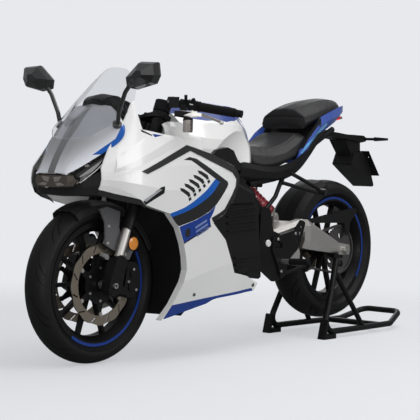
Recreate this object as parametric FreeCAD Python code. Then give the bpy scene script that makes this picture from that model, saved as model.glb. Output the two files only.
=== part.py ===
"""Sport bike with a faired electric drive, held on a paddock stand under its swingarm.

Millimetres. X runs forward, Y to the rider's left, Z up. The floor is Z = 0 and the
origin lies on it, under the middle of the bike. The bike is drawn as it stands: front
tyre on the floor, rear tyre lifted by the stand.
"""
import FreeCAD, Part
import math
import os

V = FreeCAD.Vector
ORIGIN = V(0, 0, 0)
Y_AXIS = V(0, 1, 0)

# Wheels and stance
front_axle_x = 796.0
wheelbase = 1400.0
front_tyre_height = 77.0
rear_tyre_height = 84.0
rear_lift = 71.0
front_tyre_width = 112.0
rear_tyre_width = 146.0
rim_seat_radius = 216.0
rim_flange_height = 12.0
rim_wall = 5.0
rim_well_depth = 20.0
front_rim_width = 84.0
rear_rim_width = 112.0
spoke_pairs = 5
spoke_depth = 20.0
hub_radius = 34.0
axle_radius = 10.0
front_axle_bore = 6.0
axle_running_fit = 0.05

# Brakes and chain drive
front_disc_radius = 150.0
front_disc_inner = 114.0
front_disc_offset = 54.0
rear_disc_radius = 110.0
rear_disc_inner = 78.0
rear_disc_offset = 84.0
disc_thickness = 4.5
disc_wave = 5.0
disc_waves = 12
disc_slot_length = 30.0
disc_slot_width = 5.0
disc_slot_lean = 41.0
disc_ears = 6
ear_drop = 5.0
ear_radius = 9.0
ear_pin_radius = 4.7
carrier_thickness = 5.0
front_carrier_flange = 72.0
rear_carrier_flange = 50.0
caliper_slot_half = 12.6
caliper_slot_reach = 6.0
sprocket_teeth = 40
chain_pitch = 15.875
chain_offset = 84.0
chain_height = 13.0
chain_width = 12.0
sprocket_thickness = 5.0
drive_sprocket_teeth = 13

# Steering and fork
rake_deg = 21.5
fork_offset = 35.0
fork_half_spacing = 105.0
fork_length = 712.0
inner_tube_radius = 17.0
outer_tube_radius = 24.0
outer_tube_from = 229.0
seal_height = 14.0
seal_radius = 22.0
tube_fit = 0.05
casting_inner = 84.0
casting_outer = 126.0
stem_radius = 13.0
head_tube_radius = 27.0
stem_running_fit = 0.06
yoke_thickness = 24.0
upper_yoke_drop = 57.0
yoke_spacing = 150.0

# Bodywork
panel_wall = 4.0
screen_wall = 4.0
panel_gap = 3.0
trim_height = 2.5
flange_depth = 28.0
seam_gap = 0.3

# Number plate fixing
plate_hole_radius = 3.0
plate_hole_spacing = 130.0

# Stand and frame
stand_tube_radius = 13.0
stand_half_width = 150.0
stand_foot_x = -425.0
swing_pivot_x = -77.0
swing_pivot_z = 417.0
pivot_shaft_radius = 12.0
frame_plate_inner = 152.0
frame_plate_thickness = 12.0
battery_half_width = 142.7
fairing_stay_radius = 8.0
cross_tube_radius = 9.0
shock_pin_radius = 6.0
spring_coils = 7
side_stand_length = 205.0
side_stand_rod = 8.0

front_tyre_radius = rim_seat_radius + front_tyre_height
rear_tyre_radius = rim_seat_radius + rear_tyre_height
upper_yoke_at = fork_length - upper_yoke_drop
lower_yoke_at = upper_yoke_at - yoke_spacing
rear_axle_x = front_axle_x - wheelbase
front_axle = V(front_axle_x, 0, front_tyre_radius)
rear_axle = V(rear_axle_x, 0, rear_tyre_radius + rear_lift)
rake = math.radians(rake_deg)
steer_up = V(-math.sin(rake), 0, math.cos(rake))
steer_back = V(-math.cos(rake), 0, -math.sin(rake))
steer_foot = front_axle + steer_back * fork_offset

parts = {}


# Helpers for solids

def solid(shape):
    """Give a solid with its volume counted positive."""
    if shape.Volume < 0:
        shape.reverse()
    return shape


def fuse(shapes):
    """Join a list of solids into one shape with clean faces."""
    whole = shapes[0]
    if len(shapes) > 1:
        whole = whole.multiFuse(shapes[1:])
    return whole.removeSplitter()


def mirror_y(shape):
    """The same piece for the other side of the bike."""
    return shape.mirror(ORIGIN, Y_AXIS)


def largest(shape):
    """The main solid of a trimmed piece."""
    return max(shape.Solids, key=lambda one: one.Volume)


def pair(left):
    """A left piece and its mirror, apart from each other, in one node."""
    return Part.Compound([left, mirror_y(left)])


def rounded_wire(points, radius=0.0):
    """Closed planar wire through points, its corners rounded where the radius fits."""
    count = len(points)
    corners = []
    for i in range(count):
        here = points[i]
        back = points[i - 1] - here
        ahead = points[(i + 1) % count] - here
        room = 0.45 * min(back.Length, ahead.Length)
        angle = back.getAngle(ahead)
        if radius <= 0 or angle > math.radians(176):
            corners.append((here, here, here))
            continue
        reach = min(radius / math.tan(angle / 2), room)
        back.normalize()
        ahead.normalize()
        half = back + ahead
        half.normalize()
        bend = reach * math.tan(angle / 2)
        to_arc = math.hypot(bend, reach) - bend
        corners.append((here + back * reach, here + half * to_arc, here + ahead * reach))
    edges = []
    for i in range(count):
        first, middle, last = corners[i]
        if (last - first).Length > 1e-6:
            edges.append(Part.Arc(first, middle, last).toShape())
        start = corners[(i + 1) % count][0]
        if (start - last).Length > 1e-6:
            edges.append(Part.LineSegment(last, start).toShape())
    return Part.Wire(edges)


def prism(outline, y0, y1, radius=0.0):
    """Side-view outline of (x, z) points, drawn out along Y from y0 to y1."""
    wire = rounded_wire([V(x, y0, z) for x, z in outline], radius)
    return solid(Part.Face(wire).extrude(V(0, y1 - y0, 0)))


def loft(sections, ruled=False):
    """Solid through closed polygons that have the same number of corners."""
    wires = []
    for section in sections:
        points = [V(*p) for p in section]
        wires.append(Part.makePolygon(points + [points[0]]))
    return solid(Part.makeLoft(wires, True, ruled))


def set_in(line, wall):
    """The (y, z) line moved to its inner side by the wall, with mitred corners."""
    normals = []
    for (y0, z0), (y1, z1) in zip(line, line[1:]):
        length = math.hypot(y1 - y0, z1 - z0)
        normals.append(((z1 - z0) / length, -(y1 - y0) / length))
    moved = []
    for i, (y, z) in enumerate(line):
        before = normals[max(i - 1, 0)]
        after = normals[min(i, len(normals) - 1)]
        scale = wall / (1 + before[0] * after[0] + before[1] * after[1])
        moved.append((y + (before[0] + after[0]) * scale, z + (before[1] + after[1]) * scale))
    return moved


def panel(stations, wall, ruled=False):
    """Thin bodywork wall through outer lines {x: [(y, z), ...]}, thickened inwards."""
    sections = []
    for x, line in stations:
        closed = line + set_in(line, wall)[::-1]
        sections.append([(x, y, z) for y, z in closed])
    return loft(sections, ruled)


def both_sides(half):
    """A full-width line, right edge to left edge, from its left half that starts at y = 0."""
    return [(-y, z) for y, z in half[:0:-1]] + half


def block(stations, ruled=False):
    """Closed full-width body through {x: half outline}, its half line runs top to bottom."""
    sections = []
    for x, half in stations:
        ring = half + [(-y, z) for y, z in half[::-1] if y > 0.01]
        sections.append([(x, y, z) for y, z in ring])
    return loft(sections, ruled)


def bend_path(points, radius):
    """Wire of straight runs joined by tangent arcs."""
    edges = []
    start = points[0]
    for before, here, after in zip(points, points[1:], points[2:]):
        back = before - here
        ahead = after - here
        angle = back.getAngle(ahead)
        reach = min(radius / math.tan(angle / 2), 0.45 * min(back.Length, ahead.Length))
        back.normalize()
        ahead.normalize()
        half = back + ahead
        half.normalize()
        bend = reach * math.tan(angle / 2)
        to_arc = math.hypot(bend, reach) - bend
        first = here + back * reach
        edges.append(Part.LineSegment(start, first).toShape())
        edges.append(Part.Arc(first, here + half * to_arc, here + ahead * reach).toShape())
        start = here + ahead * reach
    edges.append(Part.LineSegment(start, points[-1]).toShape())
    return Part.Wire(edges)


def tube(points, tube_radius, bend_radius=30.0):
    """Round bar along points (x, y, z), bent at its corners."""
    points = [V(*p) for p in points]
    path = bend_path(points, bend_radius)
    direction = points[1] - points[0]
    ring = Part.Wire(Part.makeCircle(tube_radius, points[0], direction))
    return solid(path.makePipeShell([ring], True, False))


def rod(start, end, radius):
    """Straight round bar between two points."""
    start = V(*start)
    run = V(*end) - start
    return Part.makeCylinder(radius, run.Length, start, run)


def cylinder_y(x, z, y0, y1, radius):
    """Round boss along Y."""
    return Part.makeCylinder(radius, y1 - y0, V(x, y0, z), Y_AXIS)


def ring_y(centre, profile):
    """Ring turned about the Y line through centre, from a closed profile of (radius, y)."""
    points = [V(centre.x + r, y, centre.z) for r, y in profile]
    face = Part.Face(Part.makePolygon(points + [points[0]]))
    return solid(face.revolve(centre, Y_AXIS, 360))


def in_wheel_plane(centre, radius, angle, y):
    """Point at a radius and an angle about a wheel's centre."""
    return V(centre.x + radius * math.cos(angle), y, centre.z + radius * math.sin(angle))


# Wheels

def rim(centre, width, lean):
    """Cast wheel: channel rim, split spokes and a hub bored for its axle."""
    half = width / 2
    flange = rim_seat_radius + rim_flange_height
    well = rim_seat_radius - rim_well_depth
    well_half = half * 0.45
    channel = [
        (flange, half), (flange, half - rim_wall),
        (rim_seat_radius, half - rim_wall - 2), (rim_seat_radius - 2, well_half + 6),
        (well, well_half), (well, -well_half),
        (rim_seat_radius - 2, -well_half - 6), (rim_seat_radius, rim_wall + 2 - half),
        (flange, rim_wall - half), (flange, -half),
        (rim_seat_radius - rim_wall - 2, -half), (well - rim_wall, -well_half),
        (well - rim_wall, well_half), (rim_seat_radius - rim_wall - 2, half)]
    pieces = [ring_y(centre, channel)]
    hub_half = half * 0.85
    pieces.append(cylinder_y(centre.x, centre.z, -hub_half, hub_half, hub_radius))
    spoke_end = well - rim_wall / 2
    for pair in range(spoke_pairs):
        middle = 2 * math.pi * pair / spoke_pairs + lean
        for side in (-1, 1):
            inner = middle + side * 0.20
            outer = middle + side * 0.30
            inner_half = 11.0 / hub_radius
            outer_half = 6.5 / spoke_end
            foot = hub_radius - 6
            corners = [
                in_wheel_plane(centre, foot, inner - inner_half, -spoke_depth / 2),
                in_wheel_plane(centre, spoke_end, outer - outer_half, -spoke_depth / 2),
                in_wheel_plane(centre, spoke_end, outer + outer_half, -spoke_depth / 2),
                in_wheel_plane(centre, foot, inner + inner_half, -spoke_depth / 2)]
            arm = Part.Face(Part.makePolygon(corners + [corners[0]]))
            pieces.append(solid(arm.extrude(V(0, spoke_depth, 0))))
    whole = fuse(pieces)
    bore = cylinder_y(centre.x, centre.z, -half, half, axle_radius + axle_running_fit)
    return whole.cut(bore)


def tyre(centre, radius, width, rim_width):
    """Tyre carcass: round crown, full shoulders and beads inside the rim flanges."""
    half = width / 2
    bead = rim_width / 2 - rim_wall - 2
    crown = radius - rim_seat_radius
    profile = [V(centre.x + rim_seat_radius, -bead, centre.z)]
    outer = []
    steps = 5
    shoulder = rim_seat_radius + crown * 0.52
    for i in range(2 * steps + 1):
        t = math.pi * (i / steps - 1) / 2
        outer.append(V(centre.x + shoulder + (radius - shoulder) * math.cos(t),
                       half * math.sin(t), centre.z))
    lip = centre.x + rim_seat_radius + rim_flange_height
    profile.append(V(lip, -bead - 1.9, centre.z))
    profile.append(V(lip + 2, -bead - 5, centre.z))
    profile += outer
    profile.append(V(lip + 2, bead + 5, centre.z))
    profile.append(V(lip, bead + 1.9, centre.z))
    profile.append(V(centre.x + rim_seat_radius, bead, centre.z))
    face = Part.Face(Part.makePolygon(profile + [profile[0]]))
    return solid(face.revolve(centre, Y_AXIS, 360))


def slanted_slot(centre, radius, angle, y):
    """Cutter for one slot of a disc, leaning away from the radius."""
    middle = in_wheel_plane(centre, radius, angle, y - disc_thickness)
    lean = angle + math.radians(disc_slot_lean)
    along = V(math.cos(lean), 0, math.sin(lean)) * (disc_slot_length / 2)
    across = V(-math.sin(lean), 0, math.cos(lean)) * (disc_slot_width / 2)
    corners = [middle + along + across, middle - along + across,
               middle - along - across, middle + along - across]
    face = Part.Face(Part.makePolygon(corners + [corners[0]]))
    return solid(face.extrude(V(0, disc_thickness * 2, 0)))


def ear_places(centre, inner):
    """Centres of the ears on the inner edge of a disc, the first one at the top."""
    turns = [math.pi / 2 + 2 * math.pi * i / disc_ears for i in range(disc_ears)]
    return [(turn, in_wheel_plane(centre, inner - ear_drop, turn, 0)) for turn in turns]


def wave_disc(centre, radius, inner, y):
    """Brake disc: waved rim, slanted slots, and inner ears bored for the carrier's pins."""
    points = []
    steps = disc_waves * 6
    for i in range(steps):
        angle = 2 * math.pi * i / steps
        r = radius - disc_wave * (1 - math.cos(disc_waves * angle)) / 2
        points.append(in_wheel_plane(centre, r, angle, y - disc_thickness / 2))
    face = Part.Face(Part.makePolygon(points + [points[0]]))
    plate = solid(face.extrude(V(0, disc_thickness, 0)))
    low = y - disc_thickness / 2
    high = y + disc_thickness / 2
    ring = plate.cut(cylinder_y(centre.x, centre.z, low - 1, high + 1, inner))
    ears = []
    cutters = []
    for turn, spot in ear_places(centre, inner):
        ears.append(cylinder_y(spot.x, spot.z, low, high, ear_radius))
        cutters.append(cylinder_y(spot.x, spot.z, low - 1, high + 1, ear_pin_radius + seam_gap))
    for i in range(disc_waves):
        angle = 2 * math.pi * (i + 0.5) / disc_waves
        cutters.append(slanted_slot(centre, (radius + inner) / 2, angle, y))
    return fuse([ring] + ears).cut(Part.Compound(cutters))


def disc_carrier(centre, inner, flange, hub_half, y_disc):
    """Spider on the hub: flange with bolt heads, arms, and a headed pin through each ear."""
    back = y_disc - disc_thickness / 2 - seam_gap
    low = back - carrier_thickness
    front = y_disc + disc_thickness / 2 + seam_gap
    pieces = [cylinder_y(centre.x, centre.z, hub_half, back, hub_radius + 6),
              cylinder_y(centre.x, centre.z, low, back, flange)]
    for turn, spot in ear_places(centre, inner):
        root = flange - 6
        tip = inner - ear_drop
        corners = [
            in_wheel_plane(centre, root, turn - 18 / root, low),
            in_wheel_plane(centre, tip, turn - 7 / tip, low),
            in_wheel_plane(centre, tip, turn + 7 / tip, low),
            in_wheel_plane(centre, root, turn + 12 / root, low)]
        arm = Part.Face(Part.makePolygon(corners + [corners[0]]))
        pieces.append(solid(arm.extrude(V(0, carrier_thickness, 0))))
        pieces.append(cylinder_y(spot.x, spot.z, low, back, ear_radius))
        pieces.append(cylinder_y(spot.x, spot.z, back, front + 2, ear_pin_radius))
        pieces.append(cylinder_y(spot.x, spot.z, front, front + 2, ear_radius - 2))
        bolt = in_wheel_plane(centre, flange - 12, turn, 0)
        pieces.append(cylinder_y(bolt.x, bolt.z, back, back + 3, 5))
    return fuse(pieces)


def make_wheels():
    front_hub_half = front_rim_width / 2 * 0.85
    parts["front_rim"] = rim(front_axle, front_rim_width, math.radians(90))
    parts["front_tyre"] = tyre(front_axle, front_tyre_radius, front_tyre_width, front_rim_width)
    parts["rear_rim"] = rim(rear_axle, rear_rim_width, math.radians(54))
    parts["rear_tyre"] = tyre(rear_axle, rear_tyre_radius, rear_tyre_width, rear_rim_width)

    disc = wave_disc(front_axle, front_disc_radius, front_disc_inner, front_disc_offset)
    parts["front_discs"] = pair(disc)
    carrier = disc_carrier(front_axle, front_disc_inner, front_carrier_flange, front_hub_half,
                           front_disc_offset)
    bore = cylinder_y(front_axle.x, front_axle.z, 0, 200, axle_radius + axle_running_fit)
    carrier = carrier.cut(bore)
    parts["disc_carriers"] = pair(carrier)

    rear_hub_half = rear_rim_width / 2 * 0.85
    rear_bore = cylinder_y(rear_axle.x, rear_axle.z, -200, 200,
                           axle_radius + axle_running_fit)
    ring = wave_disc(rear_axle, rear_disc_radius, rear_disc_inner, rear_disc_offset)
    spider = disc_carrier(rear_axle, rear_disc_inner, rear_carrier_flange, rear_hub_half,
                          rear_disc_offset).cut(rear_bore)
    parts["rear_disc"] = mirror_y(Part.Compound([ring, spider]))

    parts["rear_sprocket"] = rear_sprocket(rear_hub_half).cut(rear_bore)


def pitch_radius(teeth):
    return chain_pitch / (2 * math.sin(math.pi / teeth))


def sprocket(centre, teeth, y, thickness, root_drop=4.5, tip_rise=1.0):
    """Toothed plate: one notch for each chain roller."""
    points = []
    radius = pitch_radius(teeth)
    for i in range(teeth):
        for part_turn, r in ((0.0, radius - root_drop), (0.36, radius + tip_rise),
                             (0.64, radius + tip_rise)):
            angle = 2 * math.pi * (i + part_turn) / teeth
            points.append(in_wheel_plane(centre, r, angle, y - thickness / 2))
    face = Part.Face(Part.makePolygon(points + [points[0]]))
    return solid(face.extrude(V(0, thickness, 0)))


def rear_sprocket(hub_half):
    plate = sprocket(rear_axle, sprocket_teeth, chain_offset, sprocket_thickness,
                     root_drop=9.0, tip_rise=-5.2)
    windows = []
    for i in range(5):
        angle = 2 * math.pi * (i + 0.5) / 5
        spot = in_wheel_plane(rear_axle, 66, angle, 0)
        windows.append(cylinder_y(spot.x, spot.z, chain_offset - 10, chain_offset + 10, 17))
    plate = plate.cut(Part.Compound(windows))
    carrier = cylinder_y(rear_axle.x, rear_axle.z, hub_half, chain_offset + 4, 42)
    return fuse([plate, carrier])


# Fork and steering

def on_fork(along, y=0.0, ahead=0.0):
    """Point on the line of the fork legs, measured up from the front axle."""
    base = front_axle + steer_up * along - steer_back * ahead
    return V(base.x, y, base.z)


def on_steer(along, y=0.0, ahead=0.0):
    """Point on the steering axis, level with the same height on the fork legs."""
    base = steer_foot + steer_up * along - steer_back * ahead
    return V(base.x, y, base.z)


def fork_plate(outline, y0, y1, radius=0.0):
    """Plate from an outline of (ahead, along) points beside the fork, drawn out along Y."""
    wire = rounded_wire([on_fork(along, y0, ahead) for ahead, along in outline], radius)
    return solid(Part.Face(wire).extrude(V(0, y1 - y0, 0)))


def turned_on_fork(steps):
    """Body turned about the left leg's line, from (along, radius) steps."""
    start = steps[0][0]
    end = steps[-1][0]
    points = [on_fork(start, fork_half_spacing)]
    points += [on_fork(along, fork_half_spacing, ahead=r) for along, r in steps]
    points.append(on_fork(end, fork_half_spacing))
    face = Part.Face(Part.makePolygon(points + [points[0]]))
    return solid(face.revolve(on_fork(start, fork_half_spacing), steer_up, 360))


def axle_casting():
    """Foot of the left leg: axle clamp and two tabs that the caliper bolts to."""
    foot = fork_plate([(26, 96), (26, 20), (20, -30), (-18, -36), (-40, -14), (-28, 108), (8, 116)],
                      casting_inner, casting_outer, 9)
    upper_tab = fork_plate([(-16, 112), (-80, 108), (-80, 92), (-16, 80)],
                           casting_inner, casting_inner + 16, 5)
    lower_tab = fork_plate([(-16, 30), (-104, 12), (-98, -4), (-20, -24)],
                           casting_inner, casting_inner + 16, 5)
    hole = cylinder_y(front_axle.x, front_axle.z, 0, 300, axle_radius)
    return fuse([foot, upper_tab, lower_tab]).cut(hole)


def fork_outer():
    """Upper tube of the left leg: seal ring, tube, cap, and the bore that its slider runs in."""
    body = turned_on_fork([
        (outer_tube_from - seal_height, seal_radius), (outer_tube_from, seal_radius),
        (outer_tube_from, outer_tube_radius), (fork_length, outer_tube_radius),
        (fork_length, outer_tube_radius - 8), (fork_length + 7, outer_tube_radius - 8)])
    bore = Part.makeCylinder(inner_tube_radius + tube_fit, seal_height + 44,
                             on_fork(outer_tube_from - seal_height - 10, fork_half_spacing), steer_up)
    return body.cut(bore)


def fork_slider():
    """Bright lower tube of the left leg with its axle casting."""
    slider = turned_on_fork([(40, inner_tube_radius), (outer_tube_from + 30, inner_tube_radius)])
    return fuse([slider, axle_casting()])


def yoke(along, thickness, clamp_radius, grip):
    """Fork yoke: a shaped plate across both legs with a clamp around each."""
    half = fork_half_spacing
    outline = [(-30, -34), (26, -46), (30, -80), (-6, -half - clamp_radius),
               (26 + fork_offset, -half - clamp_radius + 2), (fork_offset + 26, -half),
               (fork_offset + 16, -50), (fork_offset - 4, 0)]
    mirrored = [(a, -y) for a, y in outline[-2::-1]]
    points = [on_steer(along, y, ahead=a) for a, y in outline + mirrored]
    plate = Part.Face(rounded_wire(points, 8)).extrude(steer_up * thickness)
    pieces = [solid(plate)]
    for side in (-1, 1):
        pieces.append(Part.makeCylinder(clamp_radius, thickness + 8,
                                        on_fork(along - 4, side * half), steer_up))
    whole = fuse(pieces)
    bores = [Part.makeCylinder(grip, thickness + 60, on_fork(along - 30, side * half), steer_up)
             for side in (-1, 1)]
    return whole.cut(Part.Compound(bores))


def make_fork():
    parts["fork_left"] = fork_outer()
    parts["fork_right"] = mirror_y(fork_outer())
    parts["fork_sliders"] = pair(fork_slider())
    lower = yoke(lower_yoke_at, yoke_thickness, outer_tube_radius + 8, outer_tube_radius)
    upper = yoke(upper_yoke_at, yoke_thickness - 8, outer_tube_radius + 7, outer_tube_radius)
    stem = Part.makeCylinder(stem_radius, upper_yoke_at - lower_yoke_at + 30,
                             on_steer(lower_yoke_at + 4), steer_up)
    nut = Part.makeCylinder(16, 12, on_steer(upper_yoke_at + yoke_thickness - 10), steer_up)
    parts["fork_yokes"] = fuse([lower, upper, stem, nut])

    reach = fork_half_spacing + 30
    axle = cylinder_y(front_axle.x, front_axle.z, -reach, reach, axle_radius)
    spacer = cylinder_y(front_axle.x, front_axle.z, front_disc_offset + 3, casting_inner, 16)
    axle = fuse([axle, spacer, mirror_y(spacer)])
    axle = axle.cut(cylinder_y(front_axle.x, front_axle.z, -reach, reach, front_axle_bore))
    parts["front_axle"] = axle

    parts["brake_calipers"] = pair(caliper())
    parts["handlebar_left"] = handlebar()
    parts["handlebar_right"] = mirror_y(handlebar())
    parts["brake_levers"] = pair(brake_lever())
    parts["rear_caliper"] = mirror_y(rear_caliper())
    parts["front_fender"] = front_fender()


def caliper():
    """Brake caliper slotted over the disc, with two piston bosses, on the casting's tabs."""
    body = fork_plate([(-62, 112), (-104, 124), (-138, 100), (-160, 48), (-150, 2), (-114, -12),
                       (-86, 6), (-76, 60)], 28, 92, 12)
    slot = cylinder_y(front_axle.x, front_axle.z, front_disc_offset - caliper_slot_half,
                      front_disc_offset + caliper_slot_half, front_disc_radius + caliper_slot_reach)
    bosses = []
    for ahead, along in ((-108, 82), (-118, 34)):
        spot = on_fork(along, 0, ahead)
        bosses.append(cylinder_y(spot.x, spot.z, 88, 96, 18))
    return largest(fuse([body.cut(slot)] + bosses).cut(axle_casting()))


def rear_caliper():
    """Rear caliper over its disc, on a bracket that the axle holds, drawn on the left."""
    outline = [(126, 52), (128, 75), (124, 98), (96, 104), (74, 90), (76, 60), (98, 47)]
    points = [in_wheel_plane(rear_axle, r, math.radians(turn), 64) for r, turn in outline]
    body = solid(Part.Face(rounded_wire(points, 9)).extrude(V(0, 48, 0)))
    slot = cylinder_y(rear_axle.x, rear_axle.z, rear_disc_offset - caliper_slot_half,
                      rear_disc_offset + caliper_slot_half, rear_disc_radius + caliper_slot_reach)
    low = 93.7
    thickness = 3.1
    ring = cylinder_y(rear_axle.x, rear_axle.z, low, low + thickness, 18)
    arm_points = [in_wheel_plane(rear_axle, r, math.radians(turn), low)
                  for r, turn in ((17, -20), (104, 56), (104, 92), (17, 165))]
    arm = solid(Part.Face(Part.makePolygon(arm_points + [arm_points[0]])).extrude(V(0, thickness, 0)))
    whole = fuse([body.cut(slot), ring, arm])
    return whole.cut(cylinder_y(rear_axle.x, rear_axle.z, 0, 200, axle_radius + axle_running_fit))


grip_inner = V(482, 240, 946)
grip_outer = V(423, 382, 922)


def bar_box(start, end, ahead_half, up_half):
    """Box around the bar between two places along it, measured out from the grip."""
    along = grip_outer - grip_inner
    along.normalize()
    ahead = V(along.y, -along.x, 0)
    ahead.normalize()
    rings = []
    for place in (start, end):
        middle = grip_inner + along * place
        rings.append([middle + ahead * a + V(0, 0, b) for a, b in (
            (-ahead_half, -up_half), (ahead_half, -up_half), (ahead_half, up_half),
            (-ahead_half, up_half))])
    return loft(rings, True)


def handlebar():
    """Clip-on bar: clamp on the fork tube, bar, switch pod, fluid box, grip and bar end."""
    clamp_at = upper_yoke_at + yoke_thickness + 1
    clamp = Part.makeCylinder(outer_tube_radius + 8, 40, on_fork(clamp_at, fork_half_spacing), steer_up)
    along = grip_outer - grip_inner
    along.normalize()
    bar = rod(grip_inner - along * 130, grip_outer, 11)
    pod = bar_box(-44, -6, 20, 19)
    buttons = rod(grip_inner - along * 24 + V(0, 0, 14), grip_inner - along * 24 + V(6, 2, 26), 7)
    stalk = rod(grip_inner - along * 50 + V(8, 0, 0), grip_inner - along * 48 + V(14, 2, 36), 6)
    flange = rod(grip_inner - along * 4, grip_inner, 20)
    grip = rod(grip_inner, grip_outer - along * 16, 16)
    end = rod(grip_outer - along * 14, grip_outer + along * 10, 14)
    box = loft([
        [(541, 176, 940), (572, 160, 940), (596, 192, 940), (562, 210, 940)],
        [(541, 176, 980), (572, 160, 980), (596, 192, 980), (562, 210, 980)]], True)
    neck = rod(grip_inner - along * 84, (562, 186, 952), 8)
    whole = fuse([clamp, bar, pod, buttons, stalk, flange, grip, end, box, neck])
    bore = Part.makeCylinder(outer_tube_radius, 60, on_fork(clamp_at - 20, fork_half_spacing),
                             steer_up)
    return whole.cut(bore)


def brake_lever():
    """Perch clamped on the bar, lever blade with its ball, and the fluid cup in front."""
    along = grip_outer - grip_inner
    along.normalize()
    ahead = V(along.y, -along.x, 0)
    ahead.normalize()
    perch_mid = grip_inner - along * 66
    ring = rod(perch_mid - along * 12, perch_mid + along * 12, 18)
    floor = [V(584, 206, 907), V(566, 226, 907), V(508, 250, 907), V(492, 232, 907), V(522, 198, 907)]
    body = solid(Part.Face(Part.makePolygon(floor + [floor[0]])).extrude(V(0, 0, 22)))
    arm = loft([
        corner_ring(perch_mid + ahead * 8, along, 12, 12),
        corner_ring(V(536, 208, 922), along, 14, 9)], True)
    blade = loft([
        corner_ring(V(520, 232, 919), ahead, 12, 8),
        corner_ring(V(498, 266, 916), ahead, 8, 6),
        corner_ring(V(491, 306, 904), ahead, 6, 5),
        corner_ring(V(487, 348, 889), ahead, 5, 5)], True)
    ball = Part.makeSphere(8, V(487, 351, 888))
    cup = prism([(552, 903), (552, 850), (580, 850), (580, 903)], 246, 270, 7)
    hanger = loft([
        [(560, 220, 908), (578, 212, 908), (578, 212, 914), (560, 220, 914)],
        [(556, 262, 900), (576, 262, 900), (576, 262, 906), (556, 262, 906)]], True)
    whole = fuse([ring, body, arm, blade, ball, cup, hanger])
    return largest(whole.cut(handlebar()))


def corner_ring(centre, across, half_width, half_height):
    """Four corners of a flat bar section, seen along the bar."""
    up = V(0, 0, half_height)
    side = across * half_width
    return [centre - side - up, centre + side - up, centre + side + up, centre - side + up]


def front_fender():
    """Mudguard that hugs the tyre, with a brace behind each slider that holds a reflector."""
    clear = 7.0
    wall = 3.5
    inner = front_tyre_radius + clear
    half = front_tyre_width / 2 + 9
    line = [(inner - 38, half), (inner - 14, half - 8), (inner - 1, half - 26), (inner + 2, 0)]
    line = line + [(r, -y) for r, y in line[-2::-1]]
    outer = [(r + wall, y + (wall if abs(y) >= half - 9 else 0) * (1 if y > 0 else -1))
             for r, y in line]
    profile = line + outer[::-1]
    start = math.radians(62)
    points = [in_wheel_plane(front_axle, r, start, y) for r, y in profile]
    face = Part.Face(Part.makePolygon(points + [points[0]]))
    shell = solid(face.revolve(front_axle, V(0, -1, 0), 92))
    plate_outer = fork_half_spacing - inner_tube_radius - 0.5
    brace = fork_plate([
        (21, 127), (63, 131), (96, 204), (134, 236), (110, 262), (40, 268), (24, 215), (-17, 168),
        (-36, 172), (-79, 165), (-72, 121), (-39, 114), (-20, 128)], plate_outer - 7, plate_outer, 4)
    root = fork_plate([(86, 226), (134, 236), (110, 262), (40, 268), (34, 240)],
                      half + 0.5, plate_outer)
    lamp = on_fork(177, 0, -46)
    stem = cylinder_y(lamp.x, lamp.z, plate_outer - 7, plate_outer + 14, 9)
    reflector = cylinder_y(lamp.x, lamp.z, plate_outer + 12, plate_outer + 20, 16)
    upper_leg = Part.makeCylinder(outer_tube_radius + 0.5, 400,
                                  on_fork(outer_tube_from - seal_height - 1, fork_half_spacing),
                                  steer_up)
    arm = largest(fuse([brace, root, stem, reflector]).cut(upper_leg))
    return fuse([shell, arm, mirror_y(arm)])


# Frame, drive and suspension

shock_top = V(-40, 0, 652)
shock_bottom = V(-247, 0, 522)


def make_frame():
    head_low = lower_yoke_at + yoke_thickness + 6
    head_high = upper_yoke_at - 6
    head = Part.makeCylinder(head_tube_radius, head_high - head_low, on_steer(head_low), steer_up)
    pieces = [head]
    for side in (-1, 1):
        spar = [
            [on_steer(head_low + 8, side * 4, -10), on_steer(head_low + 8, side * 30, -6),
             on_steer(head_high - 12, side * 30, -6), on_steer(head_high - 12, side * 4, -10)],
            [V(400, side * 140, 700), V(400, side * 158, 700),
             V(410, side * 158, 770), V(410, side * 140, 770)],
            [V(120, side * 143, 610), V(120, side * 158, 610),
             V(130, side * 158, 680), V(130, side * 143, 680)],
            [V(-20, side * frame_plate_inner, 500), V(-20, side * 162, 500),
             V(0, side * 162, 560), V(0, side * frame_plate_inner, 560)]]
        pieces.append(loft(spar, True))
    plate = prism([(20, 570), (-40, 560), (-60, 470), (-112, 452), (-122, 385), (-96, 330),
                   (-118, 300), (-70, 262), (-10, 300), (30, 330)],
                  frame_plate_inner, frame_plate_inner + frame_plate_thickness, 14)
    pieces += [plate, mirror_y(plate)]
    for x, z, radius in ((-8, 520, 15), (-30, 322, 15)):
        reach = frame_plate_inner + 2
        pieces.append(cylinder_y(x, z, -reach, reach, radius))
    shaft_end = frame_plate_inner + frame_plate_thickness + 4
    pieces.append(cylinder_y(swing_pivot_x, swing_pivot_z, -shaft_end, shaft_end,
                             pivot_shaft_radius))
    pieces.append(stand_boss())
    for x, z in ((262, 690), (392, 735)):
        stay = cylinder_y(x, z, 150, 300, fairing_stay_radius).cut(fairing_skin)
        stay = min(stay.Solids, key=lambda one: one.CenterOfMass.y)
        pieces += [stay, mirror_y(stay)]
    frame = fuse(pieces + subframe_rails())
    bore = Part.makeCylinder(stem_radius + stem_running_fit, 400, on_steer(lower_yoke_at - 50),
                             steer_up)
    parts["main_frame"] = frame.cut(bore)

    battery = prism([(70, 268), (430, 268), (430, 560), (330, 655), (110, 655), (70, 600)],
                    -battery_half_width, battery_half_width, 18)
    parts["battery_pack"] = largest(battery.cut(parts["main_frame"]))


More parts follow.
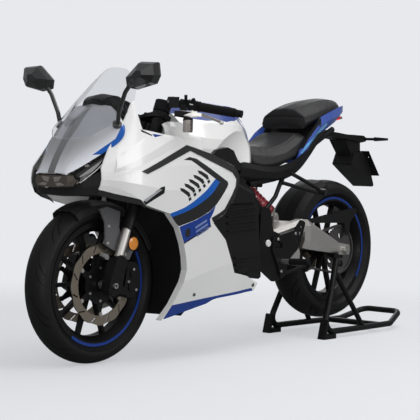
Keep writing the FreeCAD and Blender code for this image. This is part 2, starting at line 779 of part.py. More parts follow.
def subframe_rails():
    """Seat rails, their struts and cross tubes, welded to the main frame."""
    rails = []
    for side in (-1, 1):
        rails.append(tube([(60, side * 128, 656), (-140, side * 106, 680),
                           (-400, side * 82, 813), (-590, side * 52, 890)], 12, 80))
        rails.append(tube([(-14, side * 150, 548), (-110, side * 130, 606),
                           (-214, side * 98, 718)], 9, 60))
    for x, z, half in ((shock_top.x, shock_top.z, 112), (-300, 762, 92), (-560, 878, 56)):
        rails.append(cylinder_y(x, z, -half, half, cross_tube_radius))
    return rails


motor_centre = V(-226, 0, 366)


def make_drive():
    body = cylinder_y(motor_centre.x, motor_centre.z, -78, 74, 60)
    ends = cylinder_y(motor_centre.x, motor_centre.z, -134, -78, 42)
    nose = cylinder_y(motor_centre.x, motor_centre.z, 100, 140, 42)
    shaft = cylinder_y(motor_centre.x, motor_centre.z, 74, 100, 14)
    small = sprocket(motor_centre, drive_sprocket_teeth, chain_offset, sprocket_thickness,
                     root_drop=9.0, tip_rise=-4.1)
    hanger = prism([(-190, 412), (-96, 428), (-88, 404), (-176, 345)], -56, 56)
    motor = fuse([body, ends, nose, shaft, small, hanger])
    parts["motor"] = largest(motor.cut(parts["swingarm"]))
    parts["chain"] = chain_loop()


def chain_loop():
    """Chain round both sprockets as one band, waisted between its pins as the side plates are."""
    big = pitch_radius(sprocket_teeth)
    small = pitch_radius(drive_sprocket_teeth)
    run = motor_centre - V(rear_axle.x, 0, rear_axle.z)
    lean = math.atan2(run.z, run.x)
    open_angle = math.acos((big - small) / run.Length)
    straight = math.sqrt(run.Length ** 2 - (big - small) ** 2)
    rear_turn = 2 * math.pi - 2 * open_angle
    rear_arc = big * rear_turn
    front_arc = small * 2 * open_angle
    total = rear_arc + front_arc + 2 * straight
    links = 2 * round(total / chain_pitch / 2)

    def place(along, out):
        """Point at a distance round the loop, moved outwards from the pin line."""
        y = chain_offset - chain_width / 2
        if along < rear_arc:
            return in_wheel_plane(rear_axle, big + out, lean + open_angle + along / big, y)
        along -= rear_arc
        low = lean - open_angle
        if along < straight:
            start = in_wheel_plane(rear_axle, big + out, low, y)
            end = in_wheel_plane(motor_centre, small + out, low, y)
            return start + (end - start) * (along / straight)
        along -= straight
        if along < front_arc:
            return in_wheel_plane(motor_centre, small + out, low + along / small, y)
        along -= front_arc
        start = in_wheel_plane(motor_centre, small + out, lean + open_angle, y)
        end = in_wheel_plane(rear_axle, big + out, lean + open_angle, y)
        return start + (end - start) * (along / straight)

    def band(at_pin, at_waist):
        points = []
        for step in range(2 * links):
            out = at_pin if step % 2 == 0 else at_waist
            points.append(place(total * step / (2 * links), out))
        face = Part.Face(Part.makePolygon(points + [points[0]]))
        return solid(face.extrude(V(0, chain_width, 0)))

    half = chain_height / 2
    return band(half, half - 2).cut(band(-half + 2.5, -half + 3.5))


def make_suspension():
    """Swingarm, shock and rear axle."""
    def arm_section(x, low, high, inner, outer):
        rise = high - low
        return [(x, inner, low), (x, outer - 14, low), (x, outer, low + rise * 0.28),
                (x, outer, high - rise * 0.22), (x, outer - 20, high), (x, inner, high)]

    inner = 97.0
    front = loft([
        arm_section(-46, 397, 437, inner, 132),
        arm_section(-90, 398, 464, inner, 136),
        arm_section(-292, 440, 511, inner, 146)], True)
    rear = loft([
        arm_section(-292, 392, 511, inner, 146),
        arm_section(-330, 384, 508, inner, 148),
        arm_section(-585, 353, 402, inner + 3, 126)], True)
    end = prism([(-560, 352), (-636, 350), (-642, 372), (-636, 392), (-560, 404)],
                inner + 3, 124, 6)
    arm = fuse([front, rear, end])
    bridge = prism([(-150, 430), (-270, 452), (-282, 498), (-250, 502), (-140, 470)],
                   -inner, inner, 10)
    whole = fuse([arm, mirror_y(arm), bridge])
    cap_end = frame_plate_inner - 0.5
    boss = cylinder_y(swing_pivot_x, swing_pivot_z, -cap_end, cap_end, 20)
    lug = prism([(-270, 492), (-230, 484), (-232, 520), (-240, 534), (-254, 534), (-262, 522)],
                17, 26, 4)
    pin = cylinder_y(shock_bottom.x, shock_bottom.z, -30, 30, shock_pin_radius)
    whole = fuse([whole, boss, lug, mirror_y(lug), pin])
    whole = whole.cut(cylinder_y(swing_pivot_x, swing_pivot_z, -300, 300,
                                 pivot_shaft_radius + 0.05))
    whole = whole.cut(cylinder_y(rear_axle.x, rear_axle.z, -300, 300, axle_radius + 0.05))
    parts["swingarm"] = whole

    nut = cylinder_y(rear_axle.x, rear_axle.z, 125, 139, 17)
    axle = cylinder_y(rear_axle.x, rear_axle.z, -139, 139, axle_radius)
    parts["rear_axle"] = fuse([axle, nut, mirror_y(nut)])

    top = shock_top
    bottom = shock_bottom
    run = bottom - top
    run.normalize()
    damper = rod(top, top + run * 120, 22)
    shaft = rod(top + run * 110, bottom, 8)
    eye = cylinder_y(bottom.x, bottom.z, -16, 16, 15)
    top_eye = cylinder_y(top.x, top.z, -20, 20, 17)
    seat = rod(bottom - run * 34, bottom - run * 22, 33)
    collar = rod(top + run * 20, top + run * 32, 33)
    shock = fuse([damper, shaft, eye, top_eye, seat, collar])
    shock = shock.cut(cylinder_y(top.x, top.z, -40, 40, cross_tube_radius + 0.05))
    parts["rear_shock"] = shock.cut(cylinder_y(bottom.x, bottom.z, -40, 40, shock_pin_radius + 0.05))
    spring_axis = (top + run * 32, bottom - run * 34)
    parts["shock_spring"] = coil_spring(spring_axis[0], spring_axis[1])


def coil_spring(start, end):
    """Spring as one turned sleeve with a round bulge for each coil."""
    axis = end - start
    length = axis.Length
    axis.normalize()
    out = V(-axis.z, 0, axis.x)
    profile = [start + out * 23]
    steps = 4
    for coil in range(spring_coils):
        for step in range(steps):
            along = length * (coil + step / steps) / spring_coils
            bulge = abs(math.sin(math.pi * step / steps))
            profile.append(start + axis * along + out * (28.5 + 5.5 * bulge))
    profile += [end + out * 28.5, end + out * 23]
    face = Part.Face(Part.makePolygon(profile + [profile[0]]))
    return solid(face.revolve(start, axis, 360))


# Side stand

def stand_directions():
    folded = V(-0.97, 0.06, 0.215)
    folded.normalize()
    down = V(0.10, 0.36, -0.93)
    down.normalize()
    axis = folded.cross(down)
    axis.normalize()
    return folded, down, axis


stand_pivot = V(-128, 122, 277)


def stand_boss():
    """Boss and bolt on the frame that the side stand turns on."""
    folded, down, axis = stand_directions()
    boss = Part.makeCylinder(15, 34, stand_pivot - axis * 42.3, axis)
    bolt = Part.makeCylinder(5, 52, stand_pivot - axis * 42, axis)
    link = rod(stand_pivot - axis * 26, (-30, 96, 322), 12)
    return fuse([boss, bolt, link])


def make_side_stand():
    folded, down, axis = stand_directions()
    eye = Part.makeCylinder(15, 16, stand_pivot - axis * 8, axis)
    leg = rod(stand_pivot, stand_pivot + folded * side_stand_length, side_stand_rod)
    tip = stand_pivot + folded * side_stand_length
    foot = Part.makeCylinder(17, 7, tip - folded * 5, folded)
    whole = fuse([eye, leg, foot])
    bore = Part.makeCylinder(5.05, 60, stand_pivot - axis * 30, axis)
    parts["side_stand"] = whole.cut(bore)


# Bodywork

nose_stations = [
    (997, [(0, 700), (42, 699), (62, 698), (80, 694)]),
    (970, [(0, 757), (46, 750), (74, 737), (97, 709)]),
    (930, [(0, 820), (60, 806), (95, 777), (124, 738)]),
    (890, [(0, 872), (74, 850), (118, 812), (153, 770)]),
    (850, [(0, 912), (84, 890), (138, 846), (178, 802)]),
    (795, [(0, 950), (92, 938), (136, 905), (160, 872)])]


def make_nose():
    cowl = panel([(x, both_sides(half)) for x, half in nose_stations], panel_wall)
    parts["nose_cowl"] = cowl

    lamp_stations = []
    for x, half in nose_stations[:5]:
        edge_y, edge_z = half[3]
        drop = 52 + (997 - x) * 0.26
        low = edge_z - drop
        inner = set_in(half, panel_wall + panel_gap)
        lamp_stations.append((x - 2, [
            (0, inner[0][1]), (inner[2][0], inner[2][1]), (edge_y - 3, edge_z - panel_gap - 2),
            (edge_y + 4, edge_z - drop * 0.55), (edge_y * 0.86, low), (0, low)]))
    lamp = block(lamp_stations, True)
    keep_clear = Part.makeCylinder(190, 800, on_steer(150), steer_up)
    lamp = lamp.cut(keep_clear)
    parts["headlight"] = lamp

    beak_stations = [
        (955, [(0, 660), (84, 660), (112, 664), (120, 644), (96, 618), (0, 614)]),
        (925, [(0, 660), (100, 660), (166, 704), (182, 660), (156, 622), (0, 612)]),
        (880, [(0, 660), (106, 660), (174, 704), (224, 690), (190, 616), (0, 612)]),
        (830, [(0, 660), (110, 660), (160, 660), (246, 655), (214, 614), (0, 614)])]
    beak = block(beak_stations, True)
    beak = beak.cut(lamp).cut(keep_clear).cut(fairing_skin).cut(mirror_y(fairing_skin))
    parts["beak_panel"] = largest(beak)


def make_windscreen():
    def arc(left, centre):
        """Outer and inner arcs of one screen section, from the left edge to the right."""
        right = V(left.x, -left.y, left.z)
        outer = Part.Arc(left, centre, right)
        circle = outer.toShape().Curve
        middle = circle.Center
        shrink = (circle.Radius - screen_wall) / circle.Radius
        left_in, centre_in, right_in = [middle + (p - middle) * shrink
                                        for p in (left, centre, right)]
        edges = [outer, Part.LineSegment(right, right_in),
                 Part.Arc(right_in, centre_in, left_in), Part.LineSegment(left_in, left)]
        return Part.Wire([edge.toShape() for edge in edges])

    wires = [
        arc(V(905, 96, 826), V(934, 0, 823)),
        arc(V(800, 154, 898), V(884, 0, 893)),
        arc(V(727, 140, 960), V(822, 0, 963)),
        arc(V(688, 102, 1035), V(752, 0, 1030)),
        arc(V(682, 50, 1080), V(690, 0, 1086))]
    screen = solid(Part.makeLoft(wires, True, False))
    parts["windscreen"] = screen


fairing_stations = [
    (960, [(170, 690), (174, 684), (177, 672), (179, 662), (178, 650), (172, 640), (162, 625)]),
    (936, [(168, 716), (176, 708), (180, 690), (182, 672), (180, 655), (172, 640), (160, 620)]),
    (860, [(162, 806), (198, 752), (222, 705), (232, 670), (226, 640), (205, 600), (190, 560)]),
    (795, [(154, 888), (206, 790), (240, 712), (254, 660), (250, 606), (226, 560), (200, 500)]),
    (735, [(150, 968), (210, 822), (242, 720), (254, 650), (244, 576), (222, 500), (196, 420)]),
    (640, [(176, 905), (208, 838), (238, 725), (248, 640), (238, 520), (214, 330), (172, 150)]),
    (540, [(180, 880), (204, 835), (232, 730), (240, 640), (234, 500), (212, 300), (176, 150)]),
    (430, [(178, 862), (200, 828), (228, 730), (236, 640), (232, 500), (212, 320), (180, 180)]),
    (300, [(176, 830), (200, 800), (224, 715), (232, 620), (228, 500), (214, 350), (186, 200)]),
    (170, [(180, 780), (202, 752), (220, 700), (226, 600), (222, 480), (210, 360), (188, 210)]),
    (60, [(180, 740), (200, 715), (214, 680), (218, 580), (214, 450), (204, 330), (188, 220)])]

seam = [(927, 680), (783, 709), (520, 807), (428, 786)]
front_edge = [(768, 588), (636, 555), (577, 500), (543, 443), (521, 390), (510, 342), (520, 294),
              (560, 215), (604, 160)]
upper_outline = [(924, 716)] + seam + [
    (426, 838), (530, 828), (641, 842), (738, 856), (742, 966), (788, 893), (862, 806)]
lower_outline = [(x, z - seam_gap) for x, z in seam[::-1]] + [
    (930, 640), (794, 607)] + front_edge + [
    (365, 206), (325, 222), (88, 240), (69, 269), (143, 301), (228, 318), (302, 448),
    (388, 517), (333, 541), (308, 555), (229, 672), (227, 696), (255, 729), (374, 773)]
trim_outline = [
    (787, 707), (520, 805), (374, 772), (257, 728), (230, 696), (232, 672), (310, 556),
    (334, 543), (386, 519), (396, 534), (350, 552), (321, 566), (254, 652), (247, 679),
    (270, 704), (505, 784), (761, 698)]


fairing_skin = panel(fairing_stations, panel_wall)


def edge_flange():
    """Return of the side panel along its front edge, turned in towards the wheel."""
    just_inside = [(x, set_in(line, panel_wall / 2)) for x, line in fairing_stations[2:8]]
    deep = panel(just_inside, flange_depth - panel_wall / 2)
    band = prism(front_edge + set_in(front_edge, panel_wall)[::-1], 100, 300)
    return largest(deep.common(band))


def trim_strip():
    """Raised strip round the upper rear edge of the side panel."""
    raised = [(x, set_in(line, -trim_height)) for x, line in fairing_stations]
    layer = panel(raised, trim_height + panel_wall / 2)
    return largest(layer.common(prism(trim_outline, 150, 300)).cut(fairing_skin))


def battery_cover():
    """Left cover of the battery: a shell panel with raised louvres and a folded corner."""
    cover = prism([(200, 671), (107, 636), (82, 570), (75, 490), (57, 293), (72, 285), (140, 306),
                   (224, 322), (297, 450), (366, 516), (294, 560)], 150, 199, 8)
    pieces = [cover]
    louvres = [((274, 553), (98, 564)), ((273, 528), (97, 539)), ((272, 503), (94, 512)),
               ((269, 474), (87, 483)), ((225, 368), (70, 374)), ((220, 341), (69, 346)),
               ((206, 319), (64, 323))]
    for (x0, z0), (x1, z1) in louvres:
        rows = []
        for y, inset in ((196, 0), (207, 3)):
            rows.append([(x0 - inset, y, z0 + inset), (x1 + inset, y, z1 + inset),
                         (x1 + inset, y, z1 + 12 - inset), (x0 - inset, y, z0 + 12 - inset)])
        pieces.append(loft(rows, True))
    corner = loft([
        [(268, 199, 578), (207, 199, 662), (112, 199, 630), (110, 199, 580)],
        [(244, 206, 586), (206, 206, 650), (128, 206, 622), (124, 206, 588)]], True)
    return fuse(pieces + [corner])


def make_fairings():
    skin = fairing_skin
    upper = skin.common(prism(upper_outline, 100, 300))
    upper = upper.cut(parts["nose_cowl"]).cut(parts["windscreen"]).cut(parts["headlight"])
    lower = fuse([largest(skin.common(prism(lower_outline, 100, 300, 6))), edge_flange()])
    for name, piece in (("upper_fairing_", upper), ("side_fairing_", lower)):
        parts[name + "left"] = largest(piece)
        parts[name + "right"] = mirror_y(largest(piece))
    cover = battery_cover().cut(skin).cut(parts["main_frame"])
    parts["battery_covers"] = pair(largest(cover))
    parts["trim_strips"] = pair(trim_strip())

    duct = block([
        (494, [(0, 600), (246, 600), (246, 500), (222, 300), (184, 168), (0, 162)]),
        (474, [(0, 640), (246, 640), (246, 500), (222, 300), (186, 186), (0, 178)])], True)
    duct = duct.cut(skin).cut(mirror_y(skin))
    parts["inner_duct"] = largest(duct)

    pan = block([
        (480, [(0, 206), (200, 206), (200, 194), (0, 186)]),
        (300, [(0, 238), (206, 238), (206, 224), (0, 212)]),
        (90, [(0, 266), (208, 266), (206, 252), (0, 242)])], True)
    pan = pan.cut(skin).cut(mirror_y(skin)).cut(parts["inner_duct"])
    parts["belly_pan"] = largest(pan)


def knee_recess():
    """Cutters for the hollow that each knee rests in, which leaves a crease on the tank."""
    crease_low = V(322, 180, 790)
    crease_high = V(150, 154, 881)
    along = crease_high - crease_low
    below = V(along.z, 0, -along.x).normalize() * -95
    middle = (crease_low + crease_high) * 0.5 + below + V(0, 200, 0)
    cutter = Part.makeCylinder(221, 900, middle - along.normalize() * 450, along)
    return Part.Compound([cutter, mirror_y(cutter)])


def make_tank_and_seats():
    tank = block([
        (452, [(0, 938), (72, 922), (118, 885), (152, 845), (168, 800), (168, 780), (0, 780)]),
        (400, [(0, 950), (76, 934), (130, 886), (166, 838), (174, 795), (172, 765), (0, 765)]),
        (300, [(0, 971), (80, 955), (144, 892), (173, 830), (177, 786), (174, 745), (0, 745)]),
        (205, [(0, 977), (84, 962), (150, 890), (174, 824), (176, 768), (172, 735), (0, 735)]),
        (110, [(0, 974), (76, 958), (128, 880), (150, 805), (158, 755), (156, 720), (0, 720)]),
        (50, [(0, 955), (60, 936), (100, 868), (122, 800), (128, 750), (126, 722), (0, 722)]),
        (14, [(0, 905), (46, 890), (76, 848), (96, 800), (102, 752), (100, 726), (0, 726)])])
    wing = panel([
        (604, [(166, 880), (175, 868), (180, 852), (181, 840)]),
        (540, [(158, 890), (172, 872), (179, 848), (180, 828)]),
        (480, [(146, 888), (166, 862), (176, 826), (178, 806)]),
        (440, [(120, 885), (154, 843), (169, 799), (170, 784)])], panel_wall)
    tank = fuse([tank.cut(knee_recess()), wing, mirror_y(wing)])
    tank = tank.cut(parts["main_frame"])
    tank = largest(tank)
    parts["tank_cover"] = tank

    bump = prism([(352, 770), (325, 790), (265, 800), (230, 788), (205, 752), (182, 735),
                  (182, 712), (330, 712), (362, 735)], 164, 194, 9)
    bump = bump.cut(tank).cut(parts["main_frame"])

    seat = block([
        (9, [(0, 815), (56, 811), (92, 784), (101, 750), (96, 738), (0, 738)]),
        (-50, [(0, 812), (74, 806), (118, 772), (132, 736), (122, 716), (0, 716)]),
        (-140, [(0, 812), (92, 806), (134, 778), (144, 750), (134, 728), (0, 728)]),
        (-225, [(0, 836), (98, 832), (138, 812), (147, 780), (138, 762), (0, 762)]),
        (-300, [(0, 872), (92, 868), (126, 852), (136, 818), (126, 800), (0, 800)]),
        (-326, [(0, 874), (84, 872), (112, 858), (120, 832), (112, 816), (0, 816)])])
    seat = seat.cut(tank)
    parts["rider_seat"] = largest(seat)

    pillion = block([
        (-312, [(0, 968), (58, 962), (110, 934), (122, 904), (112, 880), (0, 880)]),
        (-380, [(0, 992), (66, 984), (118, 950), (128, 926), (116, 908), (0, 908)]),
        (-470, [(0, 1012), (64, 1005), (112, 974), (120, 950), (108, 936), (0, 936)]),
        (-560, [(0, 1021), (56, 1014), (92, 990), (98, 972), (88, 960), (0, 960)]),
        (-634, [(0, 1016), (40, 1010), (58, 994), (62, 984), (54, 978), (0, 978)])])
    parts["pillion_seat"] = pillion

    tail = block([
        (-236, [(0, 756), (130, 756), (152, 798), (146, 780), (136, 742), (0, 742)]),
        (-305, [(0, 796), (122, 796), (148, 866), (148, 822), (132, 776), (0, 776)]),
        (-400, [(0, 906), (116, 906), (130, 936), (132, 900), (112, 852), (0, 852)]),
        (-500, [(0, 944), (108, 944), (118, 968), (114, 930), (92, 892), (0, 892)]),
        (-600, [(0, 968), (76, 968), (88, 990), (86, 952), (58, 922), (0, 922)]),
        (-672, [(0, 984), (36, 984), (46, 996), (46, 968), (30, 950), (0, 950)]),
        (-702, [(0, 976), (12, 976), (18, 982), (18, 970), (12, 962), (0, 962)])], True)
    tail = tail.cut(parts["rider_seat"]).cut(pillion).cut(parts["main_frame"])
    parts["tail_cowl"] = largest(tail)

    under = panel([
        (150, [(166, 742), (170, 720), (158, 690), (140, 676)]),
        (20, [(136, 734), (150, 712), (140, 684), (126, 670)]),
        (-80, [(140, 728), (148, 706), (136, 680), (120, 668)]),
        (-200, [(146, 752), (148, 728), (132, 692), (116, 680)]),
        (-300, [(141, 800), (140, 776), (124, 738), (110, 722)]),
        (-400, [(118, 872), (120, 848), (106, 808), (94, 795)]),
        (-475, [(98, 890), (101, 878), (98, 866), (94, 858)])], panel_wall)
    under = under.cut(parts["tail_cowl"]).cut(parts["rider_seat"]).cut(tank)
    under = under.cut(parts["main_frame"])
    parts["seat_sides"] = pair(largest(under))
    parts["knee_covers"] = pair(largest(bump.cut(parts["seat_sides"])))


def make_small_bodywork():
    hugger_wall = 3.5
    inner = rear_tyre_radius + 10
    half = rear_tyre_width / 2 + 10
    line = [(inner - 60, half), (inner - 22, half - 6), (inner - 3, half - 30), (inner, 0)]
    line = line + [(r, -y) for r, y in line[-2::-1]]
    outer = [(r + hugger_wall, y) if abs(y) < half - 10
             else (r + hugger_wall, y + hugger_wall * (1 if y > 0 else -1)) for r, y in line]
    points = [in_wheel_plane(rear_axle, r, math.radians(74), y)
              for r, y in line + outer[::-1]]
    face = Part.Face(Part.makePolygon(points + [points[0]]))
    hugger = solid(face.revolve(rear_axle, Y_AXIS, 54))
    tab = prism([(-376, 466), (-340, 466), (-340, 488), (-376, 484)], half - 3, 96.9)
    hugger = fuse([hugger, tab, mirror_y(tab)])
    hugger = hugger.cut(parts["swingarm"]).cut(parts["rear_shock"]).cut(parts["shock_spring"])
    parts["rear_hugger"] = largest(hugger)

    guard = prism([(-330, 512), (-420, 510), (-700, 548), (-722, 540), (-668, 486),
                   (-664, 432), (-640, 432), (-628, 486), (-420, 490), (-330, 494)],
                  98, 102, 4)
    flange = prism([(-400, 503), (-420, 506), (-700, 544), (-700, 548), (-420, 510), (-400, 507)],
                   80, 100, 0)
    guard = fuse([guard, flange]).cut(parts["swingarm"])
    parts["chain_guard"] = largest(guard)

    tray = block([
        (-560, [(0, 884), (52, 884), (48, 862), (0, 858)]),
        (-700, [(0, 872), (60, 870), (58, 850), (0, 842)]),
        (-820, [(0, 872), (56, 868), (50, 838), (0, 830)]),
        (-860, [(0, 862), (44, 858), (40, 842), (0, 838)])], True)
    signal = rod((-836, 40, 853), (-846, 104, 853), 6)
    lens = loft([
        [(-836, 100, 844), (-856, 100, 844), (-856, 100, 862), (-836, 100, 862)],
        [(-850, 156, 848), (-866, 156, 848), (-866, 156, 858), (-850, 156, 858)]], True)
    neck = loft([
        [(-700, -44, 846), (-700, 44, 846), (-810, 44, 842), (-810, -44, 842)],
        [(-760, -40, 770), (-760, 40, 770), (-820, 40, 770), (-820, -40, 770)]], True)
    holder = prism([(-760, 790), (-735, 740), (-800, 700), (-900, 640), (-912, 646), (-860, 770),
                    (-820, 796)], -52, 52, 6)
    tray = fuse([tray, signal, mirror_y(signal), lens, mirror_y(lens), neck, holder])
    tray = tray.cut(parts["tail_cowl"]).cut(parts["main_frame"])
    tray = largest(tray)
    plate = loft([
        [(-826, -80, 800), (-826, 80, 800), (-829, 80, 800), (-829, -80, 800)],
        [(-912, -80, 690), (-912, 80, 690), (-915, 80, 690), (-915, -80, 690)]], True)
    normal = V(-110, 0, 86)
    normal.normalize()
    holes = [Part.makeCylinder(plate_hole_radius, 40, V(-849, y, 773) - normal * 20, normal)
             for y in (-plate_hole_spacing / 2, plate_hole_spacing / 2)]
    parts["plate_bracket"] = fuse([tray, plate.cut(Part.Compound(holes))])

    lamp = block([
        (-640, [(0, 974), (46, 976), (52, 962), (0, 948)]),
        (-704, [(0, 974), (16, 975), (18, 965), (0, 962)])], True)
    lamp = lamp.translated(V(-6, 0, -26))
    parts["tail_lamp"] = lamp.cut(parts["tail_cowl"])

    dash = block([
        (800, [(0, 968), (46, 958), (56, 930), (0, 926)]),
        (745, [(0, 986), (60, 978), (72, 930), (0, 922)]),
        (700, [(0, 976), (52, 968), (60, 926), (0, 920)])])
    keep = Part.makeCylinder(170, 400, on_steer(560), steer_up)
    parts["dash"] = dash.cut(keep).cut(parts["nose_cowl"]).cut(parts["windscreen"])

    parts["mirror_left"] = mirror()
    parts["mirror_right"] = mirror_y(mirror())
    parts["rider_pegs"] = pair(rider_peg())
    parts["passenger_pegs"] = pair(passenger_peg())


def mirror():
    """Rear-view mirror: stem from the nose and a faceted housing."""
    outline = [(198, 1002), (192, 1036), (262, 1092), (344, 1088), (351, 1042), (334, 1012),
               (246, 994)]
    middle_y, middle_z = 274, 1044

    def ring(x, scale):
        return [(x, middle_y + (y - middle_y) * scale, middle_z + (z - middle_z) * scale)
                for y, z in outline]

    housing = loft([ring(806, 0.94), ring(818, 1.0), ring(836, 0.86), ring(856, 0.3)], True)
    stem = tube([(818, 150, 872), (822, 158, 915), (826, 192, 985), (828, 222, 1016)], 8, 40)
    foot = Part.makeCylinder(17, 10, V(818, 146, 868), V(0.45, 0.6, 0.66))
    whole = fuse([housing, stem, foot])
    whole = whole.cut(parts["nose_cowl"]).cut(parts["windscreen"])
    whole = whole.cut(parts["upper_fairing_left"])
    return largest(whole)


def rider_peg():
    """Footpeg hanger plate with its heel guard and peg."""
    y0 = frame_plate_inner + frame_plate_thickness
    plate = prism([(-48, 445), (-95, 452), (-190, 470), (-232, 512), (-262, 500), (-240, 440),
                   (-215, 392), (-150, 345), (-138, 292), (-100, 285), (-84, 330), (-50, 390)],
                  y0, y0 + 7, 10)
    holes = []
    for x, z, r in ((-236, 482, 7), (-228, 456, 8), (-214, 428, 8), (-100, 410, 12)):
        holes.append(cylinder_y(x, z, y0 - 5, y0 + 20, r))
    plate = plate.cut(Part.Compound(holes))
    plate = plate.cut(cylinder_y(swing_pivot_x, swing_pivot_z, 0, 300, pivot_shaft_radius + 6))
    peg = rod((-114, y0 + 2, 345), (-122, 300, 350), 10)
    return fuse([plate, peg])


def passenger_peg():
    """Hanger arms from the subframe to the folded passenger peg."""
    upper = rod((-196, 128, 706), (-346, 180, 634), 8)
    lower = rod((-160, 124, 662), (-340, 176, 620), 8)
    foot = rod((-196, 110, 712), (-158, 118, 655), 9)
    boss = rod((-340, 168, 628), (-352, 204, 622), 14)
    peg = loft([
        [(-344, 190, 640), (-360, 190, 636), (-360, 206, 636), (-344, 206, 640)],
        [(-352, 198, 690), (-364, 198, 688), (-364, 208, 688), (-352, 208, 690)]], True)
    whole = fuse([upper, lower, foot, boss, peg])
    whole = whole.cut(parts["seat_sides"]).cut(parts["main_frame"]).cut(parts["tail_cowl"])
    return largest(whole)


# Paddock stand

def make_paddock_stand():
    """Rear stand: bent uprights and rails, braces, cross bar, raised handle and feet."""
    r = stand_tube_radius
    pieces = []
    handle = tube([(-560, 112, 338), (-500, 132, 190), (stand_foot_x, stand_half_width, 16 + r),
                   (-600, stand_half_width, 16 + r), (-940, 138, 16 + r), (-1074, 96, 70),
                   (-1074, -96, 70), (-940, -138, 16 + r), (-600, -stand_half_width, 16 + r),
                   (stand_foot_x, -stand_half_width, 16 + r), (-500, -132, 190), (-560, -112, 338)], r, 45)
    pieces.append(handle)
    for side in (-1, 1):
        pieces.append(rod((-538, side * 119, 285), (-720, side * 147, 16 + r), r - 2))
        toe = stand_foot_x
        foot = prism([(toe + 15, 0), (toe - 71, 0), (toe - 71, 20), (toe - 5, 20),
                      (toe - 21, 80), (toe - 7, 84)], 132, 168, 3)
        pieces.append(foot if side > 0 else mirror_y(foot))
        pad = prism([(-590, 336), (-530, 338), (-530, 358.2), (-590, 351)], 100, 124, 0)
        pieces.append(pad if side > 0 else mirror_y(pad))
    pieces.append(cylinder_y(-857, 16 + r, -141, 141, r))
    stand = fuse(pieces)
    stand = stand.cut(parts["swingarm"])
    parts["paddock_stand"] = largest(stand)


def main():
    os.makedirs("parts", exist_ok=True)
    make_wheels()
    make_fork()
    make_frame()
    make_suspension()
    make_drive()
    make_side_stand()
    make_nose()
    make_windscreen()
    make_fairings()
    make_tank_and_seats()
    make_small_bodywork()
    make_paddock_stand()
    for name, shape in parts.items():
        shape.exportStep("parts/" + name + ".step")
        print(name, len(shape.Solids), "solids", round(shape.Volume / 1000), "cm3",
              "" if shape.isValid() else "NOT VALID")


main()
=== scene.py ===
"""Finish of the sport bike: paint, rubber, lamps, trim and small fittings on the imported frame.

Metres, in the frame of the CAD: X forward, Y to the rider's left, Z up. Outlines, fittings and
the places of screws are written in millimetres.
"""

import math

import bmesh
import bpy
from mathutils import Matrix, Vector
from mathutils.bvhtree import BVHTree
from mathutils.geometry import delaunay_2d_cdt


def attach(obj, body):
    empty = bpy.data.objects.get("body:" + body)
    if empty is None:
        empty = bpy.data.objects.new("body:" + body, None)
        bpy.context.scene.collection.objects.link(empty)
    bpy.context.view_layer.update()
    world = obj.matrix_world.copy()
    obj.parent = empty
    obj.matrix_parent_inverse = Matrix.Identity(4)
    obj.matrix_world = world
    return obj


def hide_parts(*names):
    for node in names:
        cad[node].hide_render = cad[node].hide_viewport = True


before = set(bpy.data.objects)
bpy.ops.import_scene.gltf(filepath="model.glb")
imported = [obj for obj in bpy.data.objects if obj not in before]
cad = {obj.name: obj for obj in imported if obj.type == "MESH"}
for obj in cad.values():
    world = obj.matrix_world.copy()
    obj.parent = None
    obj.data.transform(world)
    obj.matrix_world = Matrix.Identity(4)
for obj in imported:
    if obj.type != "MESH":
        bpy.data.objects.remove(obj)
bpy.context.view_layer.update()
scene = bpy.context.scene

MM = 0.001
UP = (0, 0, 1)
SIDES = (("left", 1), ("right", -1))

# Axles and fork legs, as the CAD has them, in millimetres

FRONT_X, FRONT_Z = 796, 293
REAR_X, REAR_Z = -604, 371
RAKE = math.radians(21.5)
LEG_OUT = 105

FRONT_AXLE = Vector((FRONT_X * MM, 0, FRONT_Z * MM))
REAR_AXLE = Vector((REAR_X * MM, 0, REAR_Z * MM))


# Shader nodes

# Sockets of a Mix node that is set to colours
MIX_MASK, MIX_A, MIX_B, MIX_RESULT = 0, 6, 7, 2


def feed(tree, socket, value):
    """Set a socket to a value, or link another node's output to it."""
    if isinstance(value, bpy.types.NodeSocket):
        tree.links.new(value, socket)
    else:
        socket.default_value = value


def set_input(tree, node, key, value):
    """Feed an input that is known by its name."""
    feed(tree, next(s for s in node.inputs if key in (s.name, s.identifier)), value)


def add(tree, kind, **settings):
    """Add a node; a setting is one of its properties, or an input by name."""
    node = tree.nodes.new(kind)
    for key, value in settings.items():
        if hasattr(node, key):
            setattr(node, key, value)
        else:
            set_input(tree, node, key.replace("_", " "), value)
    return node


def math_node(tree, operation, *values):
    """A Math node on numbers or outputs; gives its output."""
    node = tree.nodes.new("ShaderNodeMath")
    node.operation = operation
    for socket, value in zip(node.inputs, values):
        feed(tree, socket, value)
    return node.outputs[0]


def mix_color(tree, mask, a, b):
    """Mix two colours by a mask; gives the colour."""
    node = tree.nodes.new("ShaderNodeMix")
    node.data_type = "RGBA"
    feed(tree, node.inputs[MIX_MASK], mask)
    for number, color in ((MIX_A, a), (MIX_B, b)):
        linked = isinstance(color, bpy.types.NodeSocket)
        feed(tree, node.inputs[number], color if linked else (*color, 1))
    return node.outputs[MIX_RESULT]


def object_place(tree, stretch=None):
    """Place in a mesh's own metres, which turn with it at every pose; stretched if asked."""
    place = tree.nodes.new("ShaderNodeTexCoord").outputs["Object"]
    if stretch is None:
        return place
    node = tree.nodes.new("ShaderNodeVectorMath")
    node.operation = "MULTIPLY"
    feed(tree, node.inputs[0], place)
    feed(tree, node.inputs[1], stretch)
    return node.outputs[0]


def shaded(tree, color, shade):
    """A colour made lighter or darker by a factor."""
    node = tree.nodes.new("ShaderNodeVectorMath")
    node.operation = "SCALE"
    feed(tree, node.inputs[0], color)
    feed(tree, node.inputs["Scale"], shade)
    return node.outputs[0]


# Shader groups: each makes one effect and puts out colours, changes of roughness or heights

